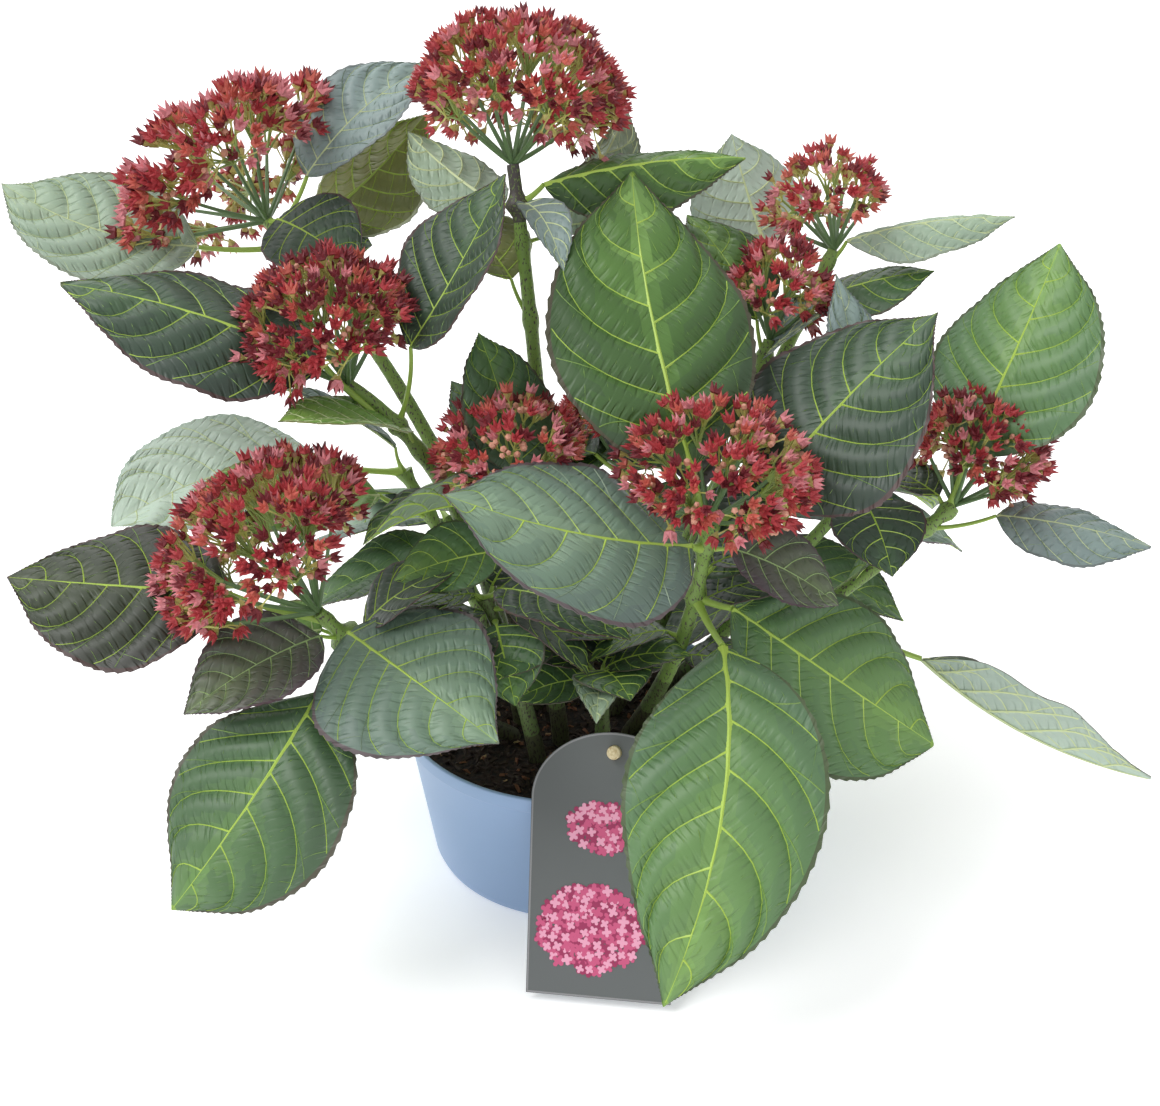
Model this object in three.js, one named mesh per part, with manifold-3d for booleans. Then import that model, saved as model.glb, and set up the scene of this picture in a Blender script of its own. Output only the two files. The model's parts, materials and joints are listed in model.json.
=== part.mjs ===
// A potted hydrangea: a wide nursery pot with its compost and plant label, canes that rise from the
// compost, and one mass of foliage at the end of each cane.
// Millimetres, +Z up, -Y is the front, and the origin is the middle of the pot's flat underside.

import * as THREE from "three";
import { mergeVertices } from "three/addons/utils/BufferGeometryUtils.js";
import Module from "manifold-3d";

const wasm = await Module();
wasm.setup();

const GAP = 0.3; // clearance between pieces that touch
const DEG = Math.PI / 180;
const GOLDEN_ANGLE = Math.PI * (3 - Math.sqrt(5));

const POT = { height: 87, rimRadius: 95, footRadius: 79, wall: 2.2, floor: 2.6, bandHeight: 9, bandDepth: 1.5, sides: 36 };
const COMPOST = { top: 79, clearance: 0.5 };
const CARD = {
  length: 133, footWidth: 73, shoulderWidth: 81, archRise: 34, thickness: 1.2,
  leanDeg: 29.5, yawDeg: 8, footX: 11, footZ: 4, holeRadius: 3.9, holeBelowTop: 10,
};
const PEG = { radius: 3.5, proud: 6, sides: 12 };
const CANE = { footRadius: 4.6, tipRadius: 3.2, sides: 6 };
const STALK = { halfWidth: 1.9, halfDepth: 1.5, lift: 0.1 };
const BLADE = { stations: [0.05, 0.18, 0.36, 0.55, 0.74, 0.89], thicknessShare: 0.016, widestAt: 0.42, fullness: 0.86 };
const HEAD = { armRadius: 1.7, sides: 5, knuckleRadius: 6.5, budShare: 0.62 };
const BACK_LEAF = { arch: 0.1, fold: 8, stalk: 0.14, bow: 0, widest: BLADE.widestAt, lift: STALK.lift };

// Leaf tips are placed in axes that lean with the crown's front: across to the right, up the leaning
// face, and deep into the plant, from a point on the pot's axis.
const CROWN = { centreHeight: 180, leanDeg: 27 };

// Each shoot has a cane from its foot on the compost, bent through bend to top. Its foliage starts at
// the fraction from of the way up. A head has its heart, its radius, its half height and its trusses.
// A leaf is [where on the cane, tip across, up, deep, width, roll, arch, fold, stalk share] and, where they
// differ from the usual, how far it bows to its side, where it is widest and how far its stalk lifts it.
// A back leaf is [where on the cane, heading from +X, rise, length, width].
const SHOOTS = [
  {
    name: "tall", foot: [-12, 10], bend: [-14, 14, 235], top: [-32, 55, 373], from: 0.66,
    head: { heart: [-28, 66, 402], radius: 56, rise: 46, trusses: 13, loose: 0.35 },
    leaves: [
      [0.93, 87, 202, -30, 56, 35, 0.06, -40, 0.12],
      [0.86, 27, 234, 0, 56, 170, 0.05, 15, 0.15],
      [0.93, -89, 222, 0, 46, 165, 0.05, 12, 0.15],
      [0.93, -6, 137, -75, 26, 0, 0.15, 25, 0.15],
      [0.73, -68, 176, -10, 55, 0, 0.08, 12, 0.3],
    ],
  },
  {
    name: "upper_left", foot: [-22, 14], bend: [-70, 50, 250], top: [-166, 99, 330], from: 0.6,
    head: { heart: [-186, 112, 352], radius: 72, rise: 39, trusses: 13, loose: 0.8 },
    leaves: [
      [0.93, -306, 197, 10, 74, -32, 0, 8, 0.3, -0.09, 0.42, 0],
      [0.93, -110, 166, 24, 76, 10, 0.05, 5, 0.15],
      [0.96, -81, 239, 30, 70, 165, 0.05, 25, 0.2],
      [0.97, -77, 266, 30, 58, 20, 0.1, 12, 0.25],
    ],
  },
  {
    name: "middle_left", foot: [-30, -4], bend: [-50, -10, 235], top: [-114, -4, 277], from: 0.55,
    head: { heart: [-124, -1, 302], radius: 48, rise: 42, trusses: 12, loose: 0.25 },
    leaves: [
      [0.8, -253, 132, -70, 86, -20, 0.06, -14, 0.25],
      [0.8, -34, 186, -70, 88, 0, 0, 12, 0.3, 0.04],
      [0.7, -143, 63, -90, 50, 0, 0.05, 12, 0.12],
    ],
  },
  {
    name: "front_left", foot: [-33, -20], bend: [-90, -50, 125], top: [-128, -64, 180], from: 0.5,
    head: { heart: [-152, -62, 215], radius: 60, rise: 43, trusses: 13, loose: 0.5 },
    leaves: [
      [0.95, -285, -12, -50, 92, -24, 0.02, -10, 0.3, -0.02],
      [0.85, -189, -78, -85, 55, -20, 0.08, 10, 0.15],
      [0.85, -196, -173, -80, 96, -15, 0.12, -8, 0.2, -0.08, 0.48],
      [0.85, -36, -90, -105, 98, 20, 0.06, -8, 0.08, 0.02, 0.38],
      [0.85, -176, -52, -20, 45, -20, 0.05, 8, 0.15],
    ],
  },
  {
    name: "centre", foot: [-8, -26], bend: [-15, -38, 160], top: [-28, -28, 222], from: 0.5,
    head: { heart: [-33, -28, 249], radius: 39, rise: 32, trusses: 11, loose: 0.3 },
    leaves: [
      [0.97, -49, 111, -48, 50, 0, 0.04, 10, 0.2],
      [0.97, -64, 88, -30, 34, -10, 0.05, 15, 0.2],
      [0.93, -103, 4, -84, 50, 30, 0.1, 30, 0.12],
      [0.8, -92, -14, -40, 42, -30, 0.08, 8, 0.2],
    ],
  },
  {
    name: "front_right", foot: [28, -18], bend: [62, -48, 150], top: [64, -60, 228], from: 0.5,
    head: { heart: [68, -64, 255], radius: 50, rise: 36, trusses: 13, loose: 0.4 },
    leaves: [
      [0.7, 41, -213, -110, 97, 0, 0.12, -6, 0.15, -0.08, 0.44],
      [0.7, 181, -97, -40, 101, 26, 0.04, -4, 0.12, 0.03, 0.5],
      [0.9, -61, 27, -138, 98, -27, 0, -4, 0.1, -0.055, 0.42, 0.05],
      [0.9, 130, -26, -60, 44, 25, 0.08, 10, 0.15],
      [0.98, 34, 91, -60, 38, 0, 0.05, 15, 0.2],
      [0.98, 177, 118, -73, 104, 20, 0.04, -6, 0.2, 0, 0.36, -0.08],
      [0.98, 28, 192, -45, 106, 0, 0.04, -6, 0.14, -0.045],
    ],
  },
  {
    name: "right", foot: [36, 2], bend: [110, -10, 130], top: [197, 2, 207], from: 0.5,
    head: { heart: [208, 9, 231], radius: 37, rise: 38, trusses: 11, loose: 0.2 },
    leaves: [
      [0.98, 250, 160, -20, 96, 0, 0.04, -8, 0.2, 0.04],
      [0.92, 297, 3, -20, 54, 10, 0.04, -14, 0.3],
      [0.62, 303, -119, 0, 70, -30, -0.07, 38, 0.3, 0, 0.42, -0.01],
      [0.92, 142, -25, 25, 36, 0, 0.05, 8, 0.1],
      [0.98, 160, 48, 15, 32, 0, 0.05, 8, 0.15],
    ],
  },
  {
    name: "upper_right", foot: [14, 20], bend: [85, 56, 205], top: [136, 74, 322], from: 0.6,
    head: { heart: [131, 83, 344], radius: 34, rise: 31, trusses: 10, loose: 0.6 },
    leaves: [
      [0.97, 229, 175, -10, 44, 10, 0.05, -30, 0.12],
      [0.85, 188, 148, -5, 50, 10, 0.04, -14, 0.15],
      [0.85, 85, 230, 40, 66, 170, 0.05, 10, 0.44],
    ],
  },
  {
    name: "inner_right", foot: [20, 4], bend: [75, 5, 200], top: [100, 33, 287], from: 0.6,
    head: { heart: [104, 38, 309], radius: 27, rise: 30, trusses: 8, loose: 0.5 },
    leaves: [
      [0.95, 58, 178, 0, 52, 0, 0.08, 8, 0.2],
      [0.95, 129, 137, -10, 22, 0, 0.05, 8, 0.15],
      [0.9, 126, 122, -36, 24, 0, 0.05, 8, 0.15],
    ],
  },
  {
    name: "leafy_right", foot: [42, 14], bend: [100, 8, 150], top: [145, 6, 212], from: 0.55,
    leaves: [
      [1, 160, -12, -40, 52, 0, 0.1, 6, 0.15],
      [1, 131, 141, -41, 42, 0, 0.04, 6, 0.15],
    ],
  },
  {
    name: "leafy_left", foot: [-34, 28], bend: [-60, 50, 140], top: [-95, 60, 200], from: 0.55,
    leaves: [
      [1, -248, 14, 12, 82, -20, 0.02, 8, 0.28, 0.09, 0.52, 0.04],
      [1, -156, 87, 0, 26, 0, 0.05, 15, 0.15],
      [0.8, -221, 19, 12, 60, -20, 0.05, 8, 0.2],
    ],
  },
  {
    name: "leafy_front", foot: [-20, -44], bend: [-30, -50, 140], top: [-46, -42, 176], from: 0.5,
    leaves: [
      [1, 27, -43, -72, 50, 10, 0.1, 12, 0.1],
      [0.7, -40, -63, -64, 52, -10, 0.1, 8, 0.1],
      [1, -79, -30, -36, 34, 0, 0.1, 12, 0.15],
    ],
  },
  {
    name: "leafy_low", foot: [14, -46], bend: [14, -50, 110], top: [12, -50, 135], from: 0.4,
    leaves: [
      [1, 27, -73, -62, 42, 0, 0.1, 8, 0.1],
      [1, 44, -56, -10, 42, 0, 0.1, 8, 0.15],
      [0.7, 10, -84, -66, 30, 0, 0.2, 25, 0.1],
    ],
  },
  {
    name: "back", foot: [4, 30], bend: [12, 80, 150], top: [28, 138, 166], from: 0.45,
    head: { heart: [30, 156, 186], radius: 44, rise: 30, trusses: 11, loose: 0.4 },
    leaves: [],
    backLeaves: [
      [0.5, 160, 7, 120, 74], [0.5, 10, 10, 100, 66], [0.78, 122, -12, 140, 84],
      [0.78, 56, 6, 120, 76], [0.97, 150, -12, 115, 74], [0.97, 85, -20, 135, 82],
    ],
  },
  {
    name: "back_right", foot: [26, 26], bend: [80, 80, 130], top: [122, 124, 150], from: 0.45,
    head: { heart: [134, 136, 170], radius: 38, rise: 28, trusses: 10, loose: 0.4 },
    leaves: [],
    backLeaves: [
      [0.55, -20, -6, 110, 70], [0.8, 8, -10, 130, 80], [0.8, 88, -25, 115, 72], [0.97, 35, -16, 135, 82],
    ],
  },
  {
    name: "back_left", foot: [-14, 30], bend: [-45, 85, 125], top: [-76, 122, 140], from: 0.45,
    leaves: [],
    backLeaves: [
      [0.6, 178, -16, 115, 74], [0.6, 92, -14, 100, 66], [0.85, 150, -22, 130, 80], [1, 112, -24, 125, 78],
    ],
  },
];

/** The point at given distances across, up and deep in the crown's leaning axes. */
function crownPoint(across, up, deep) {
  const point = new THREE.Vector3(across, deep, up).applyAxisAngle(new THREE.Vector3(1, 0, 0), -CROWN.leanDeg * DEG);
  return point.add(new THREE.Vector3(0, 0, CROWN.centreHeight));
}

/** A generator of numbers from 0 to 1 that gives the same row for the same seed. */
function seeded(seed) {
  let state = seed;
  return () => {
    state = (state * 1664525 + 1013904223) % 4294967296;
    return state / 4294967296;
  };
}

/** A closed geometry of shared vertices with its faces pointing out, from any closed geometry. */
function closed(geometry) {
  const bare = new THREE.BufferGeometry();
  bare.setAttribute("position", geometry.getAttribute("position").clone());
  if (geometry.index) bare.setIndex(geometry.index.clone());
  const merged = mergeVertices(bare, 1e-4);
  const position = merged.getAttribute("position");
  const corner = (k) => new THREE.Vector3().fromBufferAttribute(position, k);
  const faces = [];
  let volume = 0;
  for (let i = 0; i < merged.index.count; i += 3) {
    const face = [merged.index.getX(i), merged.index.getX(i + 1), merged.index.getX(i + 2)];
    if (face[0] === face[1] || face[1] === face[2] || face[2] === face[0]) continue;
    faces.push(face);
    volume += corner(face[0]).dot(corner(face[1]).cross(corner(face[2])));
  }
  if (volume < 0) faces.forEach((face) => face.reverse());
  merged.setIndex(faces.flat());
  return merged;
}

/** The manifold-3d solid of a closed geometry. */
function solid(geometry) {
  const shell = closed(geometry);
  const vertProperties = new Float32Array(shell.getAttribute("position").array);
  const triVerts = new Uint32Array(shell.index.array);
  return new wasm.Manifold(new wasm.Mesh({ numProp: 3, vertProperties, triVerts }));
}

/** The largest body of several solids joined together, as a geometry. */
function joined(solids) {
  const whole = solids.reduce((sum, next) => sum.add(next));
  const bodies = whole.decompose().sort((a, b) => b.volume() - a.volume());
  const mesh = bodies[0].getMesh();
  const geometry = new THREE.BufferGeometry();
  geometry.setAttribute("position", new THREE.BufferAttribute(new Float32Array(mesh.vertProperties), 3));
  geometry.setIndex(new THREE.BufferAttribute(new Uint32Array(mesh.triVerts), 1));
  return geometry;
}

/** The curve of a shoot's cane, from its foot on the compost to its top. */
function caneCurve(shoot) {
  const foot = new THREE.Vector3(...shoot.foot, COMPOST.top + GAP);
  return new THREE.QuadraticBezierCurve3(foot, new THREE.Vector3(...shoot.bend), new THREE.Vector3(...shoot.top));
}

/** A tapering stretch of a cane between two shares of its curve, level where it meets the compost. */
function caneStretch(shoot, start, end, steps) {
  const curve = caneCurve(shoot);
  const position = [];
  const index = [];
  const addFace = (...corners) => index.push(...corners);
  for (let k = 0; k <= steps; k += 1) {
    const share = start + ((end - start) * k) / steps;
    const along = curve.getTangent(share);
    const side = new THREE.Vector3(1, 0, 0).cross(along).normalize();
    const other = along.clone().cross(side);
    const radius = THREE.MathUtils.lerp(CANE.footRadius, CANE.tipRadius, share);
    for (let s = 0; s < CANE.sides; s += 1) {
      const turn = (2 * Math.PI * s) / CANE.sides;
      const corner = curve.getPoint(share).addScaledVector(side, radius * Math.cos(turn));
      corner.addScaledVector(other, radius * Math.sin(turn));
      if (share === 0) corner.addScaledVector(along, (COMPOST.top + GAP - corner.z) / along.z);
      position.push(...corner.toArray());
    }
  }
  const last = steps * CANE.sides;
  for (let s = 0; s < CANE.sides; s += 1) {
    const next = (s + 1) % CANE.sides;
    for (let ring = 0; ring < last; ring += CANE.sides) {
      addFace(ring + s, ring + next, ring + CANE.sides + next);
      addFace(ring + s, ring + CANE.sides + next, ring + CANE.sides + s);
    }
    if (s > 0 && next > 0) {
      addFace(0, next, s);
      addFace(last, last + s, last + next);
    }
  }
  const geometry = new THREE.BufferGeometry();
  geometry.setAttribute("position", new THREE.Float32BufferAttribute(position, 3));
  geometry.setIndex(index);
  return geometry;
}

/** The share of a cane's curve at which its foliage starts, clear of the cane below it. */
function foliageStart(shoot) {
  const curve = caneCurve(shoot);
  const step = 0.01;
  const travel = curve.getPoint(shoot.from).distanceTo(curve.getPoint(shoot.from + step));
  return shoot.from + (GAP * step) / travel;
}

/** The half width of a leaf at a share of its length, as a share of its greatest half width. */
function leafOutline(share, widest) {
  const rounded = (at) => (at ** widest * (1 - at) ** (1 - widest)) ** BLADE.fullness;
  const point = 1 - 0.3 * THREE.MathUtils.smoothstep(share, 0.8, 1);
  return (rounded(share) / rounded(widest)) ** 2 * point;
}

/** The leaves of a shoot: those placed by their tips, then those placed by their headings. */
function leavesOf(shoot) {
  const placed = shoot.leaves.map((row) => {
    const [at, across, up, deep, width, roll, arch, fold, stalk, bow = 0, widest = BLADE.widestAt, lift = STALK.lift] = row;
    return { at, tip: crownPoint(across, up, deep), width, roll, arch, fold, stalk, bow, widest, lift };
  });
  const headed = (shoot.backLeaves ?? []).map(([at, heading, rise, length, width]) => {
    const way = new THREE.Vector3(length, 0, 0).applyEuler(new THREE.Euler(0, -rise * DEG, heading * DEG, "ZYX"));
    return { at, tip: caneCurve(shoot).getPoint(at).add(way), width, roll: 0, ...BACK_LEAF };
  });
  return placed.concat(headed);
}

/** Where a leaf lies: its stalk's root, its blade's two ends, its arch and the way across it. */
function leafPlace(shoot, leaf) {
  const { at, tip, width, widest, arch, bow } = leaf;
  const root = caneCurve(shoot).getPoint(at);
  const along = tip.clone().sub(root).normalize();
  const face = new THREE.Vector3(0, 0, 1).addScaledVector(along, -along.z).normalize();
  face.applyAxisAngle(along, leaf.roll * DEG);
  const side = along.clone().cross(face);
  const reach = root.distanceTo(tip);
  const base = root.clone().addScaledVector(along, reach * leaf.stalk);
  base.addScaledVector(face, reach * leaf.lift).addScaledVector(side, reach * bow);
  const length = base.distanceTo(tip);
  const crest = base.clone().add(tip).multiplyScalar(0.5);
  crest.addScaledVector(face, 2 * arch * length).addScaledVector(side, 2 * bow * length);
  return { root, base, tip, crest, side, width, widest, length, fold: leaf.fold * DEG };
}

/** A leaf: a stalk from inside the cane that widens into a thin arched blade, folded along its midrib. */
function leafSolid(place) {
  const { root, base, tip, crest, side, width, widest, length, fold } = place;
  const midrib = new THREE.QuadraticBezierCurve3(base, crest, tip);
  const position = [];
  const addRing = (middle, along, half, lift, thickness) => {
    const face = side.clone().cross(along).normalize();
    const across = along.clone().cross(face).normalize();
    const margin = (sign) => middle.clone().addScaledVector(across, sign * half).addScaledVector(face, lift);
    position.push(...margin(-1).toArray(), ...middle.clone().addScaledVector(face, thickness / 2).toArray());
    position.push(...margin(1).toArray(), ...middle.clone().addScaledVector(face, -thickness / 2).toArray());
  };
  const stalkWay = base.clone().sub(root);
  addRing(root, stalkWay, STALK.halfWidth, 0, 2 * STALK.halfDepth);
  addRing(base, midrib.getTangent(0), STALK.halfWidth, 0, 2 * STALK.halfDepth);
  for (const share of BLADE.stations) {
    const half = (width / 2) * leafOutline(share, widest);
    const thickness = length * BLADE.thicknessShare;
    addRing(midrib.getPoint(share), midrib.getTangent(share), half * Math.cos(fold), half * Math.sin(fold), thickness);
  }
  position.push(...tip.toArray());
  const lastRing = position.length / 3 - 5;
  const index = [0, 2, 1, 0, 3, 2];
  for (let corner = 0; corner < 4; corner += 1) {
    const next = (corner + 1) % 4;
    for (let ring = 0; ring < lastRing; ring += 4) {
      index.push(ring + corner, ring + next, ring + 4 + next, ring + corner, ring + 4 + next, ring + 4 + corner);
    }
    index.push(lastRing + corner, lastRing + next, lastRing + 4);
  }
  const geometry = new THREE.BufferGeometry();
  geometry.setAttribute("position", new THREE.Float32BufferAttribute(position, 3));
  geometry.setIndex(index);
  return solid(geometry);
}

/** A truss of florets: a thin arm that flares into a jagged cup with a raised middle. */
function trussSolid(root, middle, width, random) {
  const along = middle.clone().sub(root).normalize();
  const side = new THREE.Vector3(0.31, 0.95, 0.05).cross(along).normalize();
  const other = along.clone().cross(side);
  const turn = 2 * Math.PI * random();
  const position = [];
  const addRing = (share, radiusAt) => {
    for (let k = 0; k < HEAD.sides; k += 1) {
      const angle = turn + (2 * Math.PI * k) / HEAD.sides;
      const { radius, lift } = radiusAt();
      const point = root.clone().lerp(middle, share).addScaledVector(side, radius * Math.cos(angle));
      position.push(...point.addScaledVector(other, radius * Math.sin(angle)).addScaledVector(along, lift).toArray());
    }
  };
  addRing(0, () => ({ radius: HEAD.armRadius, lift: 0 }));
  addRing(HEAD.budShare, () => ({ radius: HEAD.armRadius, lift: 0 }));
  addRing(1, () => ({ radius: (width / 2) * (0.8 + 0.4 * random()), lift: width * 0.3 * (random() - 0.6) }));
  position.push(...middle.clone().addScaledVector(along, width * 0.12).toArray());
  const index = [];
  const rim = 2 * HEAD.sides;
  for (let k = 0; k < HEAD.sides; k += 1) {
    const next = (k + 1) % HEAD.sides;
    for (let ring = 0; ring < rim; ring += HEAD.sides) {
      index.push(ring + k, ring + next, ring + HEAD.sides + next, ring + k, ring + HEAD.sides + next, ring + HEAD.sides + k);
    }
    index.push(rim + k, rim + next, rim + HEAD.sides);
    if (k > 0 && next > 0) index.push(0, next, k);
  }
  const geometry = new THREE.BufferGeometry();
  geometry.setAttribute("position", new THREE.Float32BufferAttribute(position, 3));
  geometry.setIndex(index);
  return solid(geometry);
}

/** A domed flower head: trusses that fan out evenly from a knuckle at the top of the cane. */
function headSolids(shoot, seed) {
  const { heart, radius, rise, trusses, loose } = shoot.head;
  const top = new THREE.Vector3(...shoot.top);
  const middle = new THREE.Vector3(...heart);
  const axis = middle.clone().sub(top).normalize();
  const side = new THREE.Vector3(0, 1, 0).cross(axis).normalize();
  const other = axis.clone().cross(side);
  const random = seeded(seed);
  const knuckle = new THREE.IcosahedronGeometry(HEAD.knuckleRadius, 0).translate(...top.toArray());
  const pieces = [solid(knuckle)];
  const spacing = Math.sqrt((2 * Math.PI * radius * rise * 1.25) / trusses);
  for (let k = 0; k < trusses; k += 1) {
    const tilt = Math.acos(1 - (1.12 * (k + 0.5)) / trusses);
    const turn = k * GOLDEN_ANGLE;
    const reach = 1 - loose * 0.2 * random();
    const centre = middle.clone()
      .addScaledVector(side, reach * radius * Math.sin(tilt) * Math.cos(turn))
      .addScaledVector(other, reach * radius * Math.sin(tilt) * Math.sin(turn))
      .addScaledVector(axis, reach * rise * Math.cos(tilt));
    const root = top.clone().addScaledVector(centre.clone().sub(top).normalize(), HEAD.knuckleRadius * 0.62);
    pieces.push(trussSolid(root, centre, spacing * (1 - 0.25 * loose), random));
  }
  return pieces;
}

/** A shoot's foliage: the upper part of its cane with leaves and a head of florets fused on. */
function foliageGeometry(shoot, seed) {
  const pieces = [solid(caneStretch(shoot, foliageStart(shoot), 1, 4))];
  for (const leaf of leavesOf(shoot)) {
    pieces.push(leafSolid(leafPlace(shoot, leaf)));
  }
  if (shoot.head) pieces.push(...headSolids(shoot, seed));
  return joined(pieces);
}

/** The pot: a thin tapering wall on a flat floor, with a band round its rim. */
function potGeometry() {
  const { height, rimRadius, footRadius, wall, floor, bandHeight, bandDepth } = POT;
  const bandFoot = height - bandHeight;
  const outer = (z) => THREE.MathUtils.lerp(footRadius, rimRadius - bandDepth, z / height);
  const profile = [
    [0, 0], [footRadius - 3, 0], [footRadius, 3], [outer(bandFoot), bandFoot],
    [rimRadius - 0.4, bandFoot + 0.8], [rimRadius, height - 1], [rimRadius - 0.8, height],
    [rimRadius - wall, height], [footRadius - wall, floor + 2], [footRadius - wall - 2, floor], [0, floor],
  ];
  return lathe(profile);
}

/** The compost: a plug that fills the pot to a little under its rim. */
function compostGeometry() {
  const { height, rimRadius, footRadius, wall, floor } = POT;
  const slope = (rimRadius - footRadius) / (height - floor - 2);
  const radiusAt = (z) => footRadius - wall - COMPOST.clearance + slope * (z - floor - 2);
  const foot = floor + GAP;
  const profile = [
    [0, foot], [radiusAt(foot) - 4, foot], [radiusAt(foot + 6), foot + 6], [radiusAt(COMPOST.top), COMPOST.top],
    [0, COMPOST.top],
  ];
  return lathe(profile);
}

/** A solid of revolution about Z, from a profile of [radius, height] points. */
function lathe(profile) {
  const points = profile.map(([radius, z]) => new THREE.Vector2(radius, z));
  return closed(new THREE.LatheGeometry(points, POT.sides).rotateX(Math.PI / 2));
}

/** The label: a thin card with an arched top and a hole for its peg, from its foot up. */
function cardGeometry() {
  const { length, footWidth, shoulderWidth, archRise, thickness, holeRadius, holeBelowTop } = CARD;
  const shape = new THREE.Shape();
  shape.moveTo(footWidth / 2, 0);
  shape.lineTo(shoulderWidth / 2, length - archRise);
  shape.absellipse(0, length - archRise, shoulderWidth / 2, archRise, 0, Math.PI);
  shape.lineTo(-footWidth / 2, 0);
  const hole = new THREE.Path();
  hole.absarc(0, length - holeBelowTop, holeRadius, 0, 2 * Math.PI, true);
  shape.holes.push(hole);
  return closed(new THREE.ExtrudeGeometry(shape, { depth: thickness, bevelEnabled: false, curveSegments: 8 }));
}

/** The peg: a short dowel through the label's hole, along Z, from the compost to proud of the card. */
function pegGeometry(inside) {
  const dowel = new THREE.CylinderGeometry(PEG.radius, PEG.radius, inside + PEG.proud, PEG.sides);
  return closed(dowel.rotateX(Math.PI / 2).translate(0, 0, (PEG.proud - inside) / 2));
}

/** The label and its peg, leaning on the pot's rim at the front. */
function labelGroup() {
  const lean = CARD.leanDeg * DEG;
  const yaw = CARD.yawDeg * DEG;
  const rimReach = Math.cos(lean) * POT.rimRadius + Math.sin(lean) * POT.height + GAP;
  const footY = -(rimReach - Math.sin(lean) * CARD.footZ + Math.cos(lean) * Math.sin(yaw) * CARD.footX)
    / (Math.cos(lean) * Math.cos(yaw));
  const group = new THREE.Group();
  group.position.set(CARD.footX, footY, CARD.footZ);
  group.rotation.set(0, 0, -yaw);
  const leaning = new THREE.Group();
  leaning.rotation.set(Math.PI / 2 - lean, 0, 0);
  group.add(leaning);
  leaning.add(piece("label_card", cardGeometry(), FINISHES.card));
  const holeUp = CARD.length - CARD.holeBelowTop;
  const holeHeight = CARD.footZ + holeUp * Math.cos(lean);
  const inside = (holeHeight - COMPOST.top - GAP) / Math.sin(lean) - PEG.radius / Math.tan(lean);
  const peg = piece("label_peg", pegGeometry(inside), FINISHES.peg);
  peg.position.set(0, holeUp, 0);
  leaning.add(peg);
  return group;
}

/** A material from a colour, a roughness and a metalness. */
function finish(color, roughness, metalness = 0) {
  return new THREE.MeshStandardMaterial({ color, roughness, metalness });
}

/** One named piece of the plant. */
function piece(name, geometry, material) {
  const mesh = new THREE.Mesh(geometry, material);
  mesh.name = name;
  return mesh;
}

const FINISHES = {
  pot: finish("#7f9cc4", 0.45),
  compost: finish("#2a201b", 0.95),
  card: finish("#4a4a4c", 0.4),
  peg: finish("#d8c8a4", 0.7),
  cane: finish("#6d8a45", 0.6),
  foliage: finish("#4d6b4a", 0.6),
};

const hydrangea = new THREE.Group();
hydrangea.add(piece("pot", potGeometry(), FINISHES.pot));
hydrangea.add(piece("compost", compostGeometry(), FINISHES.compost));
hydrangea.add(labelGroup());
SHOOTS.forEach((shoot, k) => {
  hydrangea.add(piece(`cane_${shoot.name}`, closed(caneStretch(shoot, 0, shoot.from, 5)), FINISHES.cane));
  hydrangea.add(piece(`foliage_${shoot.name}`, foliageGeometry(shoot, 11 + k), FINISHES.foliage));
});

export default hydrangea;
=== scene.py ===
"""The looks of a potted hydrangea: pot, compost, plant label, canes, ribbed leaves and domed flower heads.

Sizes are in millimetres in the shrub's own frame: +Z is up, -Y is the front, and the origin is the
middle of the pot's flat underside. A piece's mesh is turned to metres when it is made.
"""

from __future__ import annotations

import json
import logging
import math
from collections.abc import Iterable, Sequence
from dataclasses import dataclass, field
from enum import Enum
from typing import Any

import bpy
import numpy as np
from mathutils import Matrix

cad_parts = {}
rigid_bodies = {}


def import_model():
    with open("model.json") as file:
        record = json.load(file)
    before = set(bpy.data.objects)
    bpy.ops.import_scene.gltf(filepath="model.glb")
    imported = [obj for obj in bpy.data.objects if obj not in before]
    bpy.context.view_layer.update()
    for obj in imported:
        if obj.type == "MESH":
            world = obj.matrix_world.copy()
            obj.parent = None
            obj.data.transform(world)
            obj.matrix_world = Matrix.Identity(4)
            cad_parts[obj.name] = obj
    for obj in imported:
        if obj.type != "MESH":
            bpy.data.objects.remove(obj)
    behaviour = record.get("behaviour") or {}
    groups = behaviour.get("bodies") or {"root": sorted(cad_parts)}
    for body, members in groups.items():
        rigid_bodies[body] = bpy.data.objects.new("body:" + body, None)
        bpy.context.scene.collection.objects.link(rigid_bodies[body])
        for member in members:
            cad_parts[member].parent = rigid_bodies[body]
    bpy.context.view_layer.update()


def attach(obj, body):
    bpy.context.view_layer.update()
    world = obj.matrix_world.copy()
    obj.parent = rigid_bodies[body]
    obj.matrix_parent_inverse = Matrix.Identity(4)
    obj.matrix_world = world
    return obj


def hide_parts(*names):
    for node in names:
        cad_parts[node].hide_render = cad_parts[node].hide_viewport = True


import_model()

log = logging.getLogger("hydrangea")

MM = 0.001  # metres to a millimetre
GAP = 0.3  # clearance between pieces that touch
GOLDEN_ANGLE = math.pi * (3 - math.sqrt(5))
BODY = "root"
LIE = "lie"  # the UV map that tells how a pattern lies on a surface

Array = np.ndarray
Faces = list[tuple[int, ...]]
Named = dict[str, Any]
Point = tuple[float, float, float]


# ---- numbers and vectors


def unit(vector: Array) -> Array:
    """Scales vectors to length one, along their last axis."""
    return vector / np.linalg.norm(vector, axis=-1, keepdims=True)


def smoothstep(low: float, high: float, value: Array) -> Array:
    """Rises smoothly from 0 at low to 1 at high."""
    share = np.clip((np.asarray(value, float) - low) / (high - low), 0, 1)
    return share * share * (3 - 2 * share)


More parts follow.
